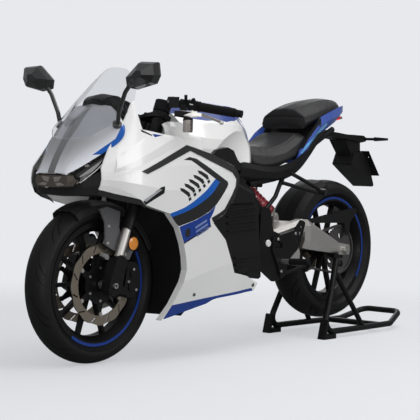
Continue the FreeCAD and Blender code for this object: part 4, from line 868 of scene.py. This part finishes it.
EDGE_BLACK_FRONT = [(745, 857), (703, 838), (703, 833), (745, 848)]
EDGE_BLUE = [(700, 842), (600, 832), (600, 826), (632, 821), (690, 828)]
EDGE_BLACK_REAR = [(574, 834), (530, 832), (540, 824), (570, 826)]
NOSE_ACCENT = [(916, 762), (880, 793), (845, 821), (812, 864), (788, 880), (788, 780), (860, 770)]
TANK_REAR_LINE = [(104, 930), (58, 904), (40, 868), (50, 830), (60, 830), (52, 868), (68, 899),
                  (112, 922)]
TANK_SECOND_LINE = [(122, 910), (90, 876), (70, 836), (65, 838), (82, 878), (110, 914)]
# A thin bright line along the tail's crease: a painted highlight
TAIL_HIGHLIGHT_LINE = [(-456, 914), (-379, 868), (-291, 824), (-248, 782), (-262, 781), (-306, 815),
              (-395, 858), (-480, 906)]
TAIL_RECESS = [(-405, 932), (-398, 912), (-340, 872), (-303, 846), (-266, 806), (-236, 798),
               (-236, 850), (-330, 932)]
LAMP_STRIP = [(968, 692), (885, 757), (902, 727), (957, 663)]
LAMP_STRIP_GLASS = [(959, 686), (891, 746), (904, 725), (950, 670)]

# Graphics, the lamp's painted reflections and faces that are drawn from the front or rear by Y and Z, or
# from above by X and Y

NOSE_STRIPE = [(17, 696), (18, 802), (26, 860), (14, 940), (-14, 940), (-26, 860), (-18, 802), (-17, 696)]
LAMP_FRONT = [(-92, 688), (92, 688), (99, 670), (84, 651), (30, 646), (-30, 646), (-84, 651), (-99, 670)]
# Two patches on each half of the lamp's front: painted reflections
LAMP_PAINTED_REFLECTIONS = [[(10, 682), (52, 684), (38, 668), (16, 664)], [(20, 660), (44, 663), (70, 654), (30, 651)]]
MIRROR_GLASS = [(204, 1006), (200, 1034), (264, 1084), (336, 1081), (342, 1042), (327, 1018), (248, 1001)]
DASH_SCREEN = [(-44, 930), (44, 930), (40, 962), (-40, 962)]
# Left halves of the outlines that are drawn from above
TANK_TOP = [(452, 60), (425, 96), (367, 118), (323, 132), (217, 144), (150, 126), (96, 99), (60, 56)]
SEAT_STEP = [(-185, 122), (-405, 134)]

# Edges in space, on the left side

LIP_TOP = [(930, 172, 642), (860, 214, 622), (794, 245, 608), (770, 246, 592)]
LIP_LOW = [(926, 166, 622), (856, 207, 602), (784, 238, 588), (764, 240, 578)]
LIP_THICK = 4
LAMP_EDGE = [(954, 103, 662), (926, 127, 691), (905, 146, 716), (880, 162, 750), (858, 174, 782)]
LAMP_EDGE_RADIUS = 2.2


def fairing_graphics(word, side):
    """Painted shapes of one side: strip, band with blue edges, chevrons, box and stripes."""
    bars = [moved(BOX_BAR, BAR_STEP, i) for i in range(BARS)]
    marks = [moved(part, CHEVRON_STEP, i) for i in range(CHEVRONS)
             for part in (CHEVRON_UPPER, CHEVRON_LOWER)]
    for name, outlines, look, proud in (
            ("inner_strip_", [INNER_STRIP], black_gloss, ON_PANEL),
            ("wing_band_", [WING_BAND], black_plastic, ON_PANEL),
            ("wing_slot_", [WING_SLOT], grey_paint, ON_FILM),
            ("blue_curve_", [CURVE_TOP + CURVE_LOW], bright_blue, ON_PANEL),
            ("black_band_", [CURVE_LOW + BAND_LOW[::-1] + BAND_REAR[::-1]], black_gloss, ON_PANEL),
            ("blue_box_", [BLUE_BOX], blue_paint, ON_PANEL),
            ("box_line_", [BOX_LINE, rounded(BOX_MARK, BOX_MARK_ROUND)], black_gloss, ON_FILM),
            ("box_bars_", bars, light_blue, ON_FILM),
            ("low_stripe_", [LOW_STRIPE], blue_paint, ON_PANEL),
            ("chevrons_", marks, black_gloss, ON_PANEL)):
        film(name + word, "side_fairing_" + word, outlines, look, side=side, proud=proud)


def bodywork_graphics(word, side):
    """Painted shapes of one side on the upper fairing, nose, tank, tail and lamp, with a painted highlight
    along the tail's crease.
    """
    upper = "upper_fairing_" + word
    for name, node, outlines, look, proud in (
            ("edge_blue_", upper, [EDGE_BLUE], blue_paint, ON_PANEL),
            ("edge_black_", upper, [EDGE_BLACK_FRONT, EDGE_BLACK_REAR], black_gloss, ON_PANEL),
            ("nose_accent_", "nose_cowl", [NOSE_ACCENT], bright_blue, ON_PANEL),
            ("tank_lines_", "tank_cover", [TANK_REAR_LINE, TANK_SECOND_LINE], blue_paint, ON_PANEL),
            ("tail_painted_highlight_", "tail_cowl", [TAIL_HIGHLIGHT_LINE], highlight_blue, ON_PANEL),
            ("tail_recess_", "tail_cowl", [TAIL_RECESS], black_plastic, ON_PANEL),
            ("lamp_strip_", "headlight", [LAMP_STRIP], black_gloss, ON_PANEL),
            ("lamp_strip_glass_", "headlight", [LAMP_STRIP_GLASS], lamp_silver, ON_FILM)):
        film(name + word, node, outlines, look, side=side, proud=proud)


def wing_lip(word, side):
    """Black lip under the front edge of the side panel."""
    rows = []
    for (x0, y0, z0), (x1, y1, z1) in zip(LIP_TOP, LIP_LOW):
        section = [(x0, y0, z0), (x1, y1, z1), (x1, y1 - LIP_THICK, z1), (x0, y0 - LIP_THICK, z0)]
        rows.append([sided(corner, side) for corner in section])
    lip = Build()
    lip.stack(rows)
    lip.finish("wing_lip_" + word, [black_gloss], "chassis")


def lamp_edge(word, side):
    """White bead along the lamp's outer edge."""
    edge = Build()
    edge.tube(curve_points([sided(point, side) for point in LAMP_EDGE]), LAMP_EDGE_RADIUS)
    edge.finish("lamp_edge_" + word, [white_paint], "chassis")


for word, side in SIDES:
    fairing_graphics(word, side)
    bodywork_graphics(word, side)
    wing_lip(word, side)
    lamp_edge(word, side)
film("nose_stripe", "nose_cowl", [NOSE_STRIPE], stripe_grey, axis=0)
film("tank_top", "tank_cover", [both(TANK_TOP)], blue_paint, axis=2)
film("lamp_front", "headlight", [LAMP_FRONT], lamp_bronze, axis=0)
# Painted reflections on both halves of the lamp's front
film("lamp_painted_reflections", "headlight", LAMP_PAINTED_REFLECTIONS + [[(-y, z) for y, z in reflection] for reflection in LAMP_PAINTED_REFLECTIONS],
     lamp_reflection_paint, axis=0, proud=ON_FILM)


# Painted stripes on the rims, in metres and degrees

STRIPE_INNER, STRIPE_PROUD, STRIPE_STEPS = 0.2168, 0.0007, 48
# Wheel, its centre, the stripe's outer radius and the rim's face, then where it starts and its turn
RIM_STRIPES = (("front", FRONT_AXLE, 0.2275, 0.0417, 150, 155),
               ("rear", REAR_AXLE, 0.2265, 0.0557, 35, 180))


def rim_stripe(name, centre, outer, face, start, turn, body):
    """Part of a flat ring on a rim's side; angles from ahead, upwards."""
    proud = face + math.copysign(STRIPE_PROUD, face)
    corners = ((STRIPE_INNER, face), (outer, face), (outer, proud), (STRIPE_INNER, proud))
    angles = [math.radians(start + turn * i / STRIPE_STEPS) for i in range(STRIPE_STEPS + 1)]
    rings = [[around_axle(centre, radius, angle, y) for radius, y in corners] for angle in angles]
    mesh_piece(name, *stacked(rings), [blue_paint], body, STRIPE_CREASE)


for wheel, centre, outer, face, start, turn in RIM_STRIPES:
    for word, side in SIDES:
        rim_stripe(f"{wheel}_rim_stripe_{word}", centre, outer, side * face, start, turn, wheel + "_wheel")


# Small fittings, on the left side and in millimetres; profiles are (radius, height)

SCREW_RADIUS = 6.5
REFLECTOR = (688, 107.4, 441)
REFLECTOR_CASE = [(25, 0), (26, 1.5), (25, 4.5), (23.5, 4.5), (23.5, 3)]
REFLECTOR_LENS = [(23.4, 2.5), (23.4, 4.6), (20, 6.2), (12, 7.4), (4, 7.8)]
# Along the fork: ahead of the leg, and up from the axle
FENDER_SCREWS = ((74, 199), (55, 141), (-44, 132))
GRIP_INNER = (482, 240, 946)
GRIP_OUTER = (423, 382, 922)
GRIP_START = [(15.0, 1.0), (17.2, 3.0)]
GRIP_END = [(17.4, 136.0), (15.0, 138.0)]
# Switch pod: its middle from the grip's inner end, and its faces from its middle
POD_FROM_GRIP = 25
POD_TOP, POD_REAR, POD_FRONT = 18.6, 19.5, 19.8
# Each button's place along the bar and the number of its look
BUTTONS = ((-10, 0), (9, 1))
BUTTON_PROFILE = [(6.0, 0), (6.0, 1.2), (4.5, 1.6), (4.5, 4.0), (3.5, 5.0)]
POD_BOLTS = (-14, 10)
POD_BOLT_PROFILE = [(5.5, 0), (5.5, 2.4), (4.5, 3.6)]
# Flat mark on the pod's front: outline along the bar and up, and its thickness
POD_MARK = ((-9, 2), (5, 2), (5, 6), (-9, 6))
POD_MARK_THICK = 0.6
# Screws of the fluid box, the lever's pivot and the bar's clamp: place, axis and radius
BAR_SCREWS = (((556, 171, 980), UP, 3.4), ((582, 196, 980), UP, 3.4),
              ((584.4, 176, 962), (0.8, -0.6, 0), 6.5), ((520, 236, 929), UP, 6.0))
PEG_INNER = (-114, 173, 345)
PEG_OUTER = (-122, 300, 350)
PEG_START = [(10.2, 34), (13, 36)]
PEG_END = [(13.4, 125), (11.5, 127.6)]
HANGER_FACE = 171
HANGER_SCREWS = ((-84, 436), (-196, 455), (-108, 305))
PIVOT_CAP = (-26, 164, 421)
PIVOT_PROFILE = [(14, 0), (14, 4), (12.5, 6), (5, 6), (4.5, 3)]
FAIRING_SCREWS = ((446, 246), (97, 263))
FAIRING_SCREW_RADIUS = 7.0
CHAIN_BOLT = (-638, 112, 371)
CHAIN_BOLT_PROFILE = [(4, -14), (4, 3), (6.5, 3), (6.5, 9), (5.6, 10)]
CALIPER_BOLTS = ((668, 345), (650, 268), (690, 300))
CALIPER_BOLT_RADIUS = 5.5


def ribs(first, count, pitch, low, high, rise, land):
    """Profile of raised ribs: from low ground up a short rise, along a flat top and down again."""
    profile = []
    for at in (first + rib * pitch for rib in range(count)):
        profile += [(low, at), (high, at + rise), (high, at + rise + land), (low, at + 2 * rise + land)]
    return profile


def fork_fittings(word, side):
    """Amber reflector with its housing, and the screws of the fender plate."""
    out = (0, side, 0)
    lens = Build()
    for look, profile in enumerate((REFLECTOR_CASE, REFLECTOR_LENS)):
        lens.turned(sided(REFLECTOR, side), out, profile, look, steps=36)
    lens.finish("reflector_" + word, [black_gloss, amber_lens], "steering")
    screws = Build()
    for place in FENDER_SCREWS:
        seat, _ = seat_on("front_fender", *on_fork(*place), side)
        screws.screw(seat, out, SCREW_RADIUS)
    screws.finish("fender_screws_" + word, [cast_silver], "steering")


def grip(word, side):
    """Ribbed rubber of one handlebar end."""
    inner, outer = sided(GRIP_INNER, side), sided(GRIP_OUTER, side)
    ribbed = ribs(first=6.0, count=14, pitch=9.2, low=16.5, high=17.4, rise=1.4, land=4.4)
    rubbers = Build()
    rubbers.turned(inner, outer - inner, GRIP_START + ribbed + GRIP_END, steps=30)
    rubbers.finish("grip_rubber_" + word, [grip_rubber], "steering")


def bar_fittings(word, side):
    """Buttons, mark and bolts of the switch pod, and screws of the fluid box, lever and clamp."""
    inner, outer = sided(GRIP_INNER, side), sided(GRIP_OUTER, side)
    along = (outer - inner).normalized()
    ahead = Vector((abs(along.y), -along.x * side, 0)).normalized()
    up = Vector(UP)
    pod = inner - along * POD_FROM_GRIP
    switches = Build()
    for shift, look in BUTTONS:
        switches.turned(pod + along * shift - ahead * POD_REAR, -ahead, BUTTON_PROFILE, look)
    front = pod + ahead * POD_FRONT
    switches.stack([[front + along * a + up * b + ahead * c for a, b in POD_MARK]
                    for c in (0, POD_MARK_THICK)], 1)
    for shift in POD_BOLTS:
        switches.turned(pod + along * shift + up * POD_TOP, up, POD_BOLT_PROFILE, 2)
    switches.finish("switches_" + word, [spring_red, white_paint, cast_silver], "steering")
    screws = Build()
    for place, axis, radius in BAR_SCREWS:
        screws.screw(sided(place, side), sided(axis, side), radius)
    screws.finish("bar_screws_" + word, [cast_silver], "steering")


def peg_fittings(word, side):
    """Rubber of the foot peg, screws of its hanger and fairing, and the swingarm's pivot cap."""
    out = (0, side, 0)
    inner, outer = sided(PEG_INNER, side), sided(PEG_OUTER, side)
    ribbed = ribs(first=38, count=9, pitch=9.5, low=12.2, high=13.4, rise=1.5, land=5)
    peg = Build()
    peg.turned(inner, outer - inner, PEG_START + ribbed + PEG_END, steps=20)
    peg.finish("peg_rubber_" + word, [grip_rubber], "chassis")
    screws = Build()
    for x, z in HANGER_SCREWS:
        screws.screw((x, side * HANGER_FACE, z), out, SCREW_RADIUS)
    # The pivot cap's near-white paint is a painted highlight
    screws.turned(sided(PIVOT_CAP, side), out, PIVOT_PROFILE, 1, steps=30)
    screws.finish("hanger_screws_" + word, [cast_silver, cap_painted_highlight], "chassis")
    body = Build()
    for x, z in FAIRING_SCREWS:
        body.screw(*seat_on("side_fairing_" + word, x, z, side), FAIRING_SCREW_RADIUS)
    body.finish("fairing_screws_" + word, [dark_steel], "chassis")


def chain_bolt(word, side):
    """Six-sided bolt at the swingarm's end, which sets the chain."""
    bolt = Build()
    bolt.turned(sided(CHAIN_BOLT, side), (-1, 0, 0), CHAIN_BOLT_PROFILE, steps=6)
    bolt.finish("chain_bolts_" + word, [cast_silver], "chassis")


def caliper_bolts(word, side):
    """Bolts of the front caliper."""
    bolts = Build()
    for x, z in CALIPER_BOLTS:
        bolts.screw(seat_on("brake_calipers", x, z, side)[0], (0, side, 0), CALIPER_BOLT_RADIUS)
    bolts.finish("caliper_bolts_" + word, [cast_silver], "steering")


for word, side in SIDES:
    fork_fittings(word, side)
    grip(word, side)
    bar_fittings(word, side)
    peg_fittings(word, side)
    chain_bolt(word, side)
    caliper_bolts(word, side)
    film("mirror_glass_" + word, "mirror_" + word, [[(y * side, z) for y, z in MIRROR_GLASS]],
         mirror_glass, axis=0, side=-1)
film("dash_screen", "dash", [DASH_SCREEN], black_gloss, axis=0, side=-1)
film("seat_step", "tail_cowl", [both(SEAT_STEP)], seat_vinyl, axis=2, proud=ON_STEP)


# Seats: CAD blocks drawn in a little, swollen by cloth pressure, then sewn along their seams

# In metres
VOXEL = 0.006
DRAWN_IN = 0.002
MOST_SWELL = 0.004
SEAM_DEPTH = 0.0030
# Of the cloth
PRESSURE = 4.0
CLOTH_STEPS = 20
# Seam lines of the left half, and half their width, in millimetres
SEAM_HALF = 4.5
RIDER_SEAMS = [[(6, 50, 812), (-50, 74, 806), (-140, 92, 806), (-225, 98, 832), (-300, 92, 868),
                (-324, 84, 872)],
               [(-60, 0, 812), (-62, 60, 808), (-50, 118, 772), (-50, 132, 736)]]
PILLION_SEAMS = [[(-312, 0, 936), (-312, 60, 934), (-316, 100, 931), (-345, 124, 922), (-420, 124, 938),
                  (-520, 112, 962), (-600, 80, 974)],
                 [(-330, 60, 966), (-380, 66, 984), (-470, 64, 1005), (-560, 56, 1014), (-610, 45, 1012)]]


def bake(piece):
    """Put a piece's modifiers into its mesh."""
    graph = bpy.context.evaluated_depsgraph_get()
    piece.data = bpy.data.meshes.new_from_object(piece.evaluated_get(graph))
    piece.modifiers.clear()


def swell(piece):
    """Let cloth pressure swell a mesh, by no more than the seat's foam gives."""
    start = [v.co.copy() for v in piece.data.vertices]
    cloth = piece.modifiers.new("cloth", "CLOTH")
    cloth.settings.use_pressure = True
    cloth.settings.uniform_pressure_force = PRESSURE
    cloth.settings.effector_weights.gravity = 0.0
    for step in range(1, CLOTH_STEPS + 1):
        scene.frame_set(step)
    bake(piece)
    scene.frame_set(1)
    for vertex, rest in zip(piece.data.vertices, start):
        move = vertex.co - rest
        vertex.co = rest + move.normalized() * min(move.length, MOST_SWELL)


def from_seam(point, seam):
    """Distance of a point from a line of seam points."""
    gaps = []
    for a, b in zip(seam, seam[1:]):
        along = b - a
        share = max(0.0, min(1.0, (point - a).dot(along) / along.length_squared))
        gaps.append((point - a - along * share).length)
    return min(gaps)


def sew(mesh, seams):
    """Press the seams of both halves into a mesh."""
    lines = [curve_points([sided(point, side) for point in seam]) for seam in seams for side in (1, -1)]
    for vertex, normal in [(v, v.normal.copy()) for v in mesh.vertices]:
        gap = min(from_seam(vertex.co / MM, line) for line in lines)
        if gap < SEAM_HALF:
            vertex.co -= normal * SEAM_DEPTH * (1 - (gap / SEAM_HALF) ** 2)


def make_pad(name, node, seams):
    """Padded seat in the place of its CAD block."""
    piece = bpy.data.objects.new(name, cad[node].data.copy())
    scene.collection.objects.link(piece)
    remesh = piece.modifiers.new("remesh", "REMESH")
    remesh.mode = "VOXEL"
    remesh.voxel_size = VOXEL
    bake(piece)
    for vertex, normal in [(v, v.normal.copy()) for v in piece.data.vertices]:
        vertex.co -= normal * DRAWN_IN
    swell(piece)
    piece.modifiers.new("subdivide", "SUBSURF").levels = 1
    bake(piece)
    piece.data.update()
    sew(piece.data, seams)
    piece.data.materials.clear()
    piece.data.materials.append(seat_vinyl)
    piece.data.shade_smooth()
    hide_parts(node)
    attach(piece, "chassis")


make_pad("rider_seat_pad", "rider_seat", RIDER_SEAMS)
make_pad("pillion_seat_pad", "pillion_seat", PILLION_SEAMS)


# Tyres: the crown is a grid of rows, each turned a little further, so that every groove is a curve

RIM_SEAT = 0.216
CROWN_SHARE = 0.52
CROWN_TURN = math.radians(66)
GROOVE_DEPTH = 0.0042
GROOVE_RUN = 0.165
SWEEP_POWER, SWEEP_WAVE = 2.3, 0.05
PITCHES = 11
# Columns of a quarter of the pattern: a groove's two edges and floor, then plain ground
QUARTER = (0.0, 0.006, 0.030, 0.036, 0.085, 0.135, 0.19)
FLOOR_COLUMNS = (1, 2)
# Where the long grooves of one side start and end, from the middle to the shoulder, by quarter
GROOVE_SPANS = {0: (0.07, 0.88), 1: (0.16, 0.97)}
CROWN_ROWS = 20
# More rows of the crown, close together where the grooves start and end
END_ROWS = {0.065, 0.07, 0.155, 0.16, 0.875, 0.88, 0.97, 0.975}
# Up from the rim seat, with the distance out from the tyre's widest place, then from the bead
WALL_STEP = [(0.030, -0.0025), (0.028, -0.0010), (0.026, -0.0040)]
BEAD_EDGE = [(0.0160, 0.008), (0.0150, 0.0060), (0.0115, 0.0025), (0, 0)]


def tread_sweep(across_crown):
    """How far round the tyre a groove has run by this distance from the middle, 0 to 1."""
    return 1 - (1 - across_crown) ** SWEEP_POWER + SWEEP_WAVE * math.sin(across_crown * math.tau)


def groove_at(column, across_crown, side):
    """True on the floor of a groove; each side has two long ones, half a pattern from the other's."""
    quarter, step = divmod(column, len(QUARTER))
    first = (quarter - (0 if side > 0 else 2)) % 4
    if step not in FLOOR_COLUMNS or first not in GROOVE_SPANS:
        return False
    low, high = GROOVE_SPANS[first]
    return low <= across_crown <= high


def crown_rings(centre, radius, width, crown, direction):
    """Rings of the grooved crown, from the right shoulder to the left."""
    columns = [quarter / 4 + c for quarter in range(4) for c in QUARTER]
    rows = sorted({i / CROWN_ROWS for i in range(CROWN_ROWS + 1)} | END_ROWS)
    rings = []
    for share, side in [(a, -1) for a in rows[::-1]] + [(a, 1) for a in rows[1:]]:
        turn = share * CROWN_TURN
        shift = direction * tread_sweep(share) * GROOVE_RUN / radius
        ring = []
        for pitch in range(PITCHES):
            for number, column in enumerate(columns):
                deep = GROOVE_DEPTH if groove_at(number, share, side) else 0.0
                angle = (pitch + column) * math.tau / PITCHES + shift
                ring.append(around_axle(centre, crown + (radius - crown - deep) * math.cos(turn), angle,
                                        side * (width / 2 - deep) * math.sin(turn)))
        rings.append(ring)
    return rings


def wall_profile(radius, width, crown, bead):
    """Radius and distance out of a side wall's rings, from the crown to the bead."""
    turns = [CROWN_TURN + (math.pi / 2 - CROWN_TURN) * i / 4 for i in range(1, 5)]
    wall = [(crown + (radius - crown) * math.cos(t), width / 2 * math.sin(t)) for t in turns]
    wall += [(RIM_SEAT + up, width / 2 + out) for up, out in WALL_STEP]
    return wall + [(RIM_SEAT + up, bead + out) for up, out in BEAD_EDGE]


def make_tyre(name, node, body, centre, radius, width, bead, direction):
    """Tyre with long curved grooves on the crown, smooth walls and a step at the bead."""
    crown = RIM_SEAT + (radius - RIM_SEAT) * CROWN_SHARE
    rings = crown_rings(centre, radius, width, crown, direction)
    walls = {}
    for side, edge in ((-1, rings[0]), (1, rings[-1])):
        angles = [math.atan2(p.z - centre.z, p.x - centre.x) for p in edge]
        walls[side] = [[around_axle(centre, r, angle, side * y) for angle in angles]
                       for r, y in wall_profile(radius, width, crown, bead)]
    rings = walls[-1][::-1] + rings + walls[1]
    numbers = numbered(rings)
    faces = [f for a, b in zip(numbers, numbers[1:] + numbers[:1]) for f in ring_faces(a, b)]
    points = [p for ring in rings for p in ring]
    mesh_piece(name, points, faces, [rubber], body, TYRE_CREASE, replaces=(node,))


make_tyre("front_tyre_tread", "front_tyre", "front_wheel", FRONT_AXLE,
          radius=0.293, width=0.112, bead=0.035, direction=-1)
make_tyre("rear_tyre_tread", "rear_tyre", "rear_wheel", REAR_AXLE,
          radius=0.300, width=0.146, bead=0.049, direction=1)


# Studio: floor, lights and camera

BACKDROP = (0.800, 0.815, 0.847)
FLOOR_RADIUS, FLOOR_STEPS = 6.0, 96
FLOOR_FADE_FROM, FLOOR_FADE_TO = 1.3, 3.2
FLOOR_UNSEEN, FLOOR_SEEN = (0.30, 0.305, 0.31), (0.80, 0.81, 0.83)
FLOOR_GLOW = 0.55
SOFT_LIGHT = (0.95, 0.97, 1.0)
# Strength of the soft light, from below to above, and the heights between which it grows
SKY_BELOW, SKY_ABOVE, SKY_FROM, SKY_TO = 0.05, 0.48, -0.5, 0.9


def mix_shader(tree, mask, a, b):
    """Mix two shaders by a mask; gives the shader."""
    node = tree.nodes.new("ShaderNodeMixShader")
    for socket, value in zip(node.inputs, (mask, a, b)):
        tree.links.new(value, socket)
    return node.outputs[0]


def make_floor():
    """A pale round floor that fades into the backdrop."""
    mesh = bpy.data.meshes.new("floor")
    form = bmesh.new()
    bmesh.ops.create_circle(form, cap_ends=True, segments=FLOOR_STEPS, radius=FLOOR_RADIUS)
    form.to_mesh(mesh)
    form.free()
    floor = bpy.data.objects.new("floor", mesh)
    scene.collection.objects.link(floor)
    material = bpy.data.materials.new("studio_floor")
    material.use_nodes = True
    tree = material.node_tree
    tree.nodes.clear()
    seen = tree.nodes.new("ShaderNodeLightPath").outputs["Is Camera Ray"]
    paper = add(tree, "ShaderNodeBsdfDiffuse", Color=mix_color(tree, seen, FLOOR_UNSEEN, FLOOR_SEEN))
    glow = add(tree, "ShaderNodeEmission", Color=(*BACKDROP, 1))
    clear = tree.nodes.new("ShaderNodeBsdfTransparent")
    lit = mix_shader(tree, math_node(tree, "MULTIPLY", seen, FLOOR_GLOW), paper.outputs[0], glow.outputs[0])
    distance = tree.nodes.new("ShaderNodeVectorMath")
    distance.operation = "LENGTH"
    feed(tree, distance.inputs[0], object_place(tree))
    fade = add(tree, "ShaderNodeMapRange", Value=distance.outputs["Value"],
               From_Min=FLOOR_FADE_FROM, From_Max=FLOOR_FADE_TO)
    fade.interpolation_type = "SMOOTHSTEP"
    out = tree.nodes.new("ShaderNodeOutputMaterial")
    feed(tree, out.inputs["Surface"], mix_shader(tree, fade.outputs[0], lit, clear.outputs[0]))
    floor.data.materials.append(material)


def make_world():
    """Pale backdrop for what the camera and glass see, and soft light for the rest."""
    world = bpy.data.worlds.new("studio")
    scene.world = world
    world.use_nodes = True
    tree = world.node_tree
    tree.nodes.clear()
    path = tree.nodes.new("ShaderNodeLightPath")
    seen = math_node(tree, "MAXIMUM", path.outputs["Is Camera Ray"], path.outputs["Is Transmission Ray"])
    backdrop = add(tree, "ShaderNodeBackground", Color=(*BACKDROP, 1), Strength=1.0)
    sky = tree.nodes.new("ShaderNodeTexCoord").outputs["Generated"]
    height = add(tree, "ShaderNodeSeparateXYZ", Vector=sky).outputs["Z"]
    ramp = add(tree, "ShaderNodeMapRange", Value=height, From_Min=SKY_FROM, From_Max=SKY_TO,
               To_Min=SKY_BELOW, To_Max=SKY_ABOVE)
    soft = add(tree, "ShaderNodeBackground", Color=(*SOFT_LIGHT, 1), Strength=ramp.outputs[0])
    out = tree.nodes.new("ShaderNodeOutputWorld")
    feed(tree, out.inputs["Surface"], mix_shader(tree, seen, soft.outputs[0], backdrop.outputs[0]))


def area_light(name, place, target, size, power):
    """A soft box aimed at a point."""
    data = bpy.data.lights.new(name, "AREA")
    data.shape = "RECTANGLE"
    data.size, data.size_y = size
    data.energy = power
    light = bpy.data.objects.new(name, data)
    light.location = place
    light.rotation_euler = (Vector(target) - Vector(place)).to_track_quat("-Z", "Y").to_euler()
    scene.collection.objects.link(light)


def make_lights():
    """Overhead, side, front and low soft boxes, with a weaker one behind."""
    area_light("overhead", (-0.5, 0.9, 3.1), (0, 0, 0.6), (3.4, 1.8), 46.0)
    area_light("side", (-0.3, 3.7, 1.7), (0.1, 0, 0.6), (3.0, 1.5), 46.0)
    area_light("front", (3.6, 0.4, 1.8), (0.4, 0, 0.7), (1.4, 1.4), 5.0)
    area_light("low", (3.4, 2.4, 0.7), (0.3, 0, 0.45), (1.8, 0.9), 33.0)
    area_light("rear", (-3.0, -2.2, 2.0), (0, 0, 0.6), (2.0, 1.6), 16.0)


def make_camera():
    """The photograph's viewpoint, worked out from both wheels."""
    place = Vector((4.4887, 3.8205, 0.7733))
    yaw, pitch, roll = 3.8626, -0.0385, 0.0192
    focal_px, image_px = 1453.7, 420
    ahead = Vector((math.cos(pitch) * math.cos(yaw), math.cos(pitch) * math.sin(yaw), math.sin(pitch)))
    side = ahead.cross(Vector(UP)).normalized()
    top = side.cross(ahead)
    right = math.cos(roll) * side + math.sin(roll) * top
    up = -math.sin(roll) * side + math.cos(roll) * top
    data = bpy.data.cameras.new("camera")
    data.sensor_width = 36.0
    data.lens = focal_px * data.sensor_width / image_px
    data.clip_end = 50.0
    camera = bpy.data.objects.new("camera", data)
    camera.matrix_world = Matrix.Translation(place) @ Matrix((right, up, -ahead)).transposed().to_4x4()
    scene.collection.objects.link(camera)
    scene.camera = camera


make_floor()
make_world()
make_lights()
make_camera()
scene.view_settings.view_transform = "Standard"
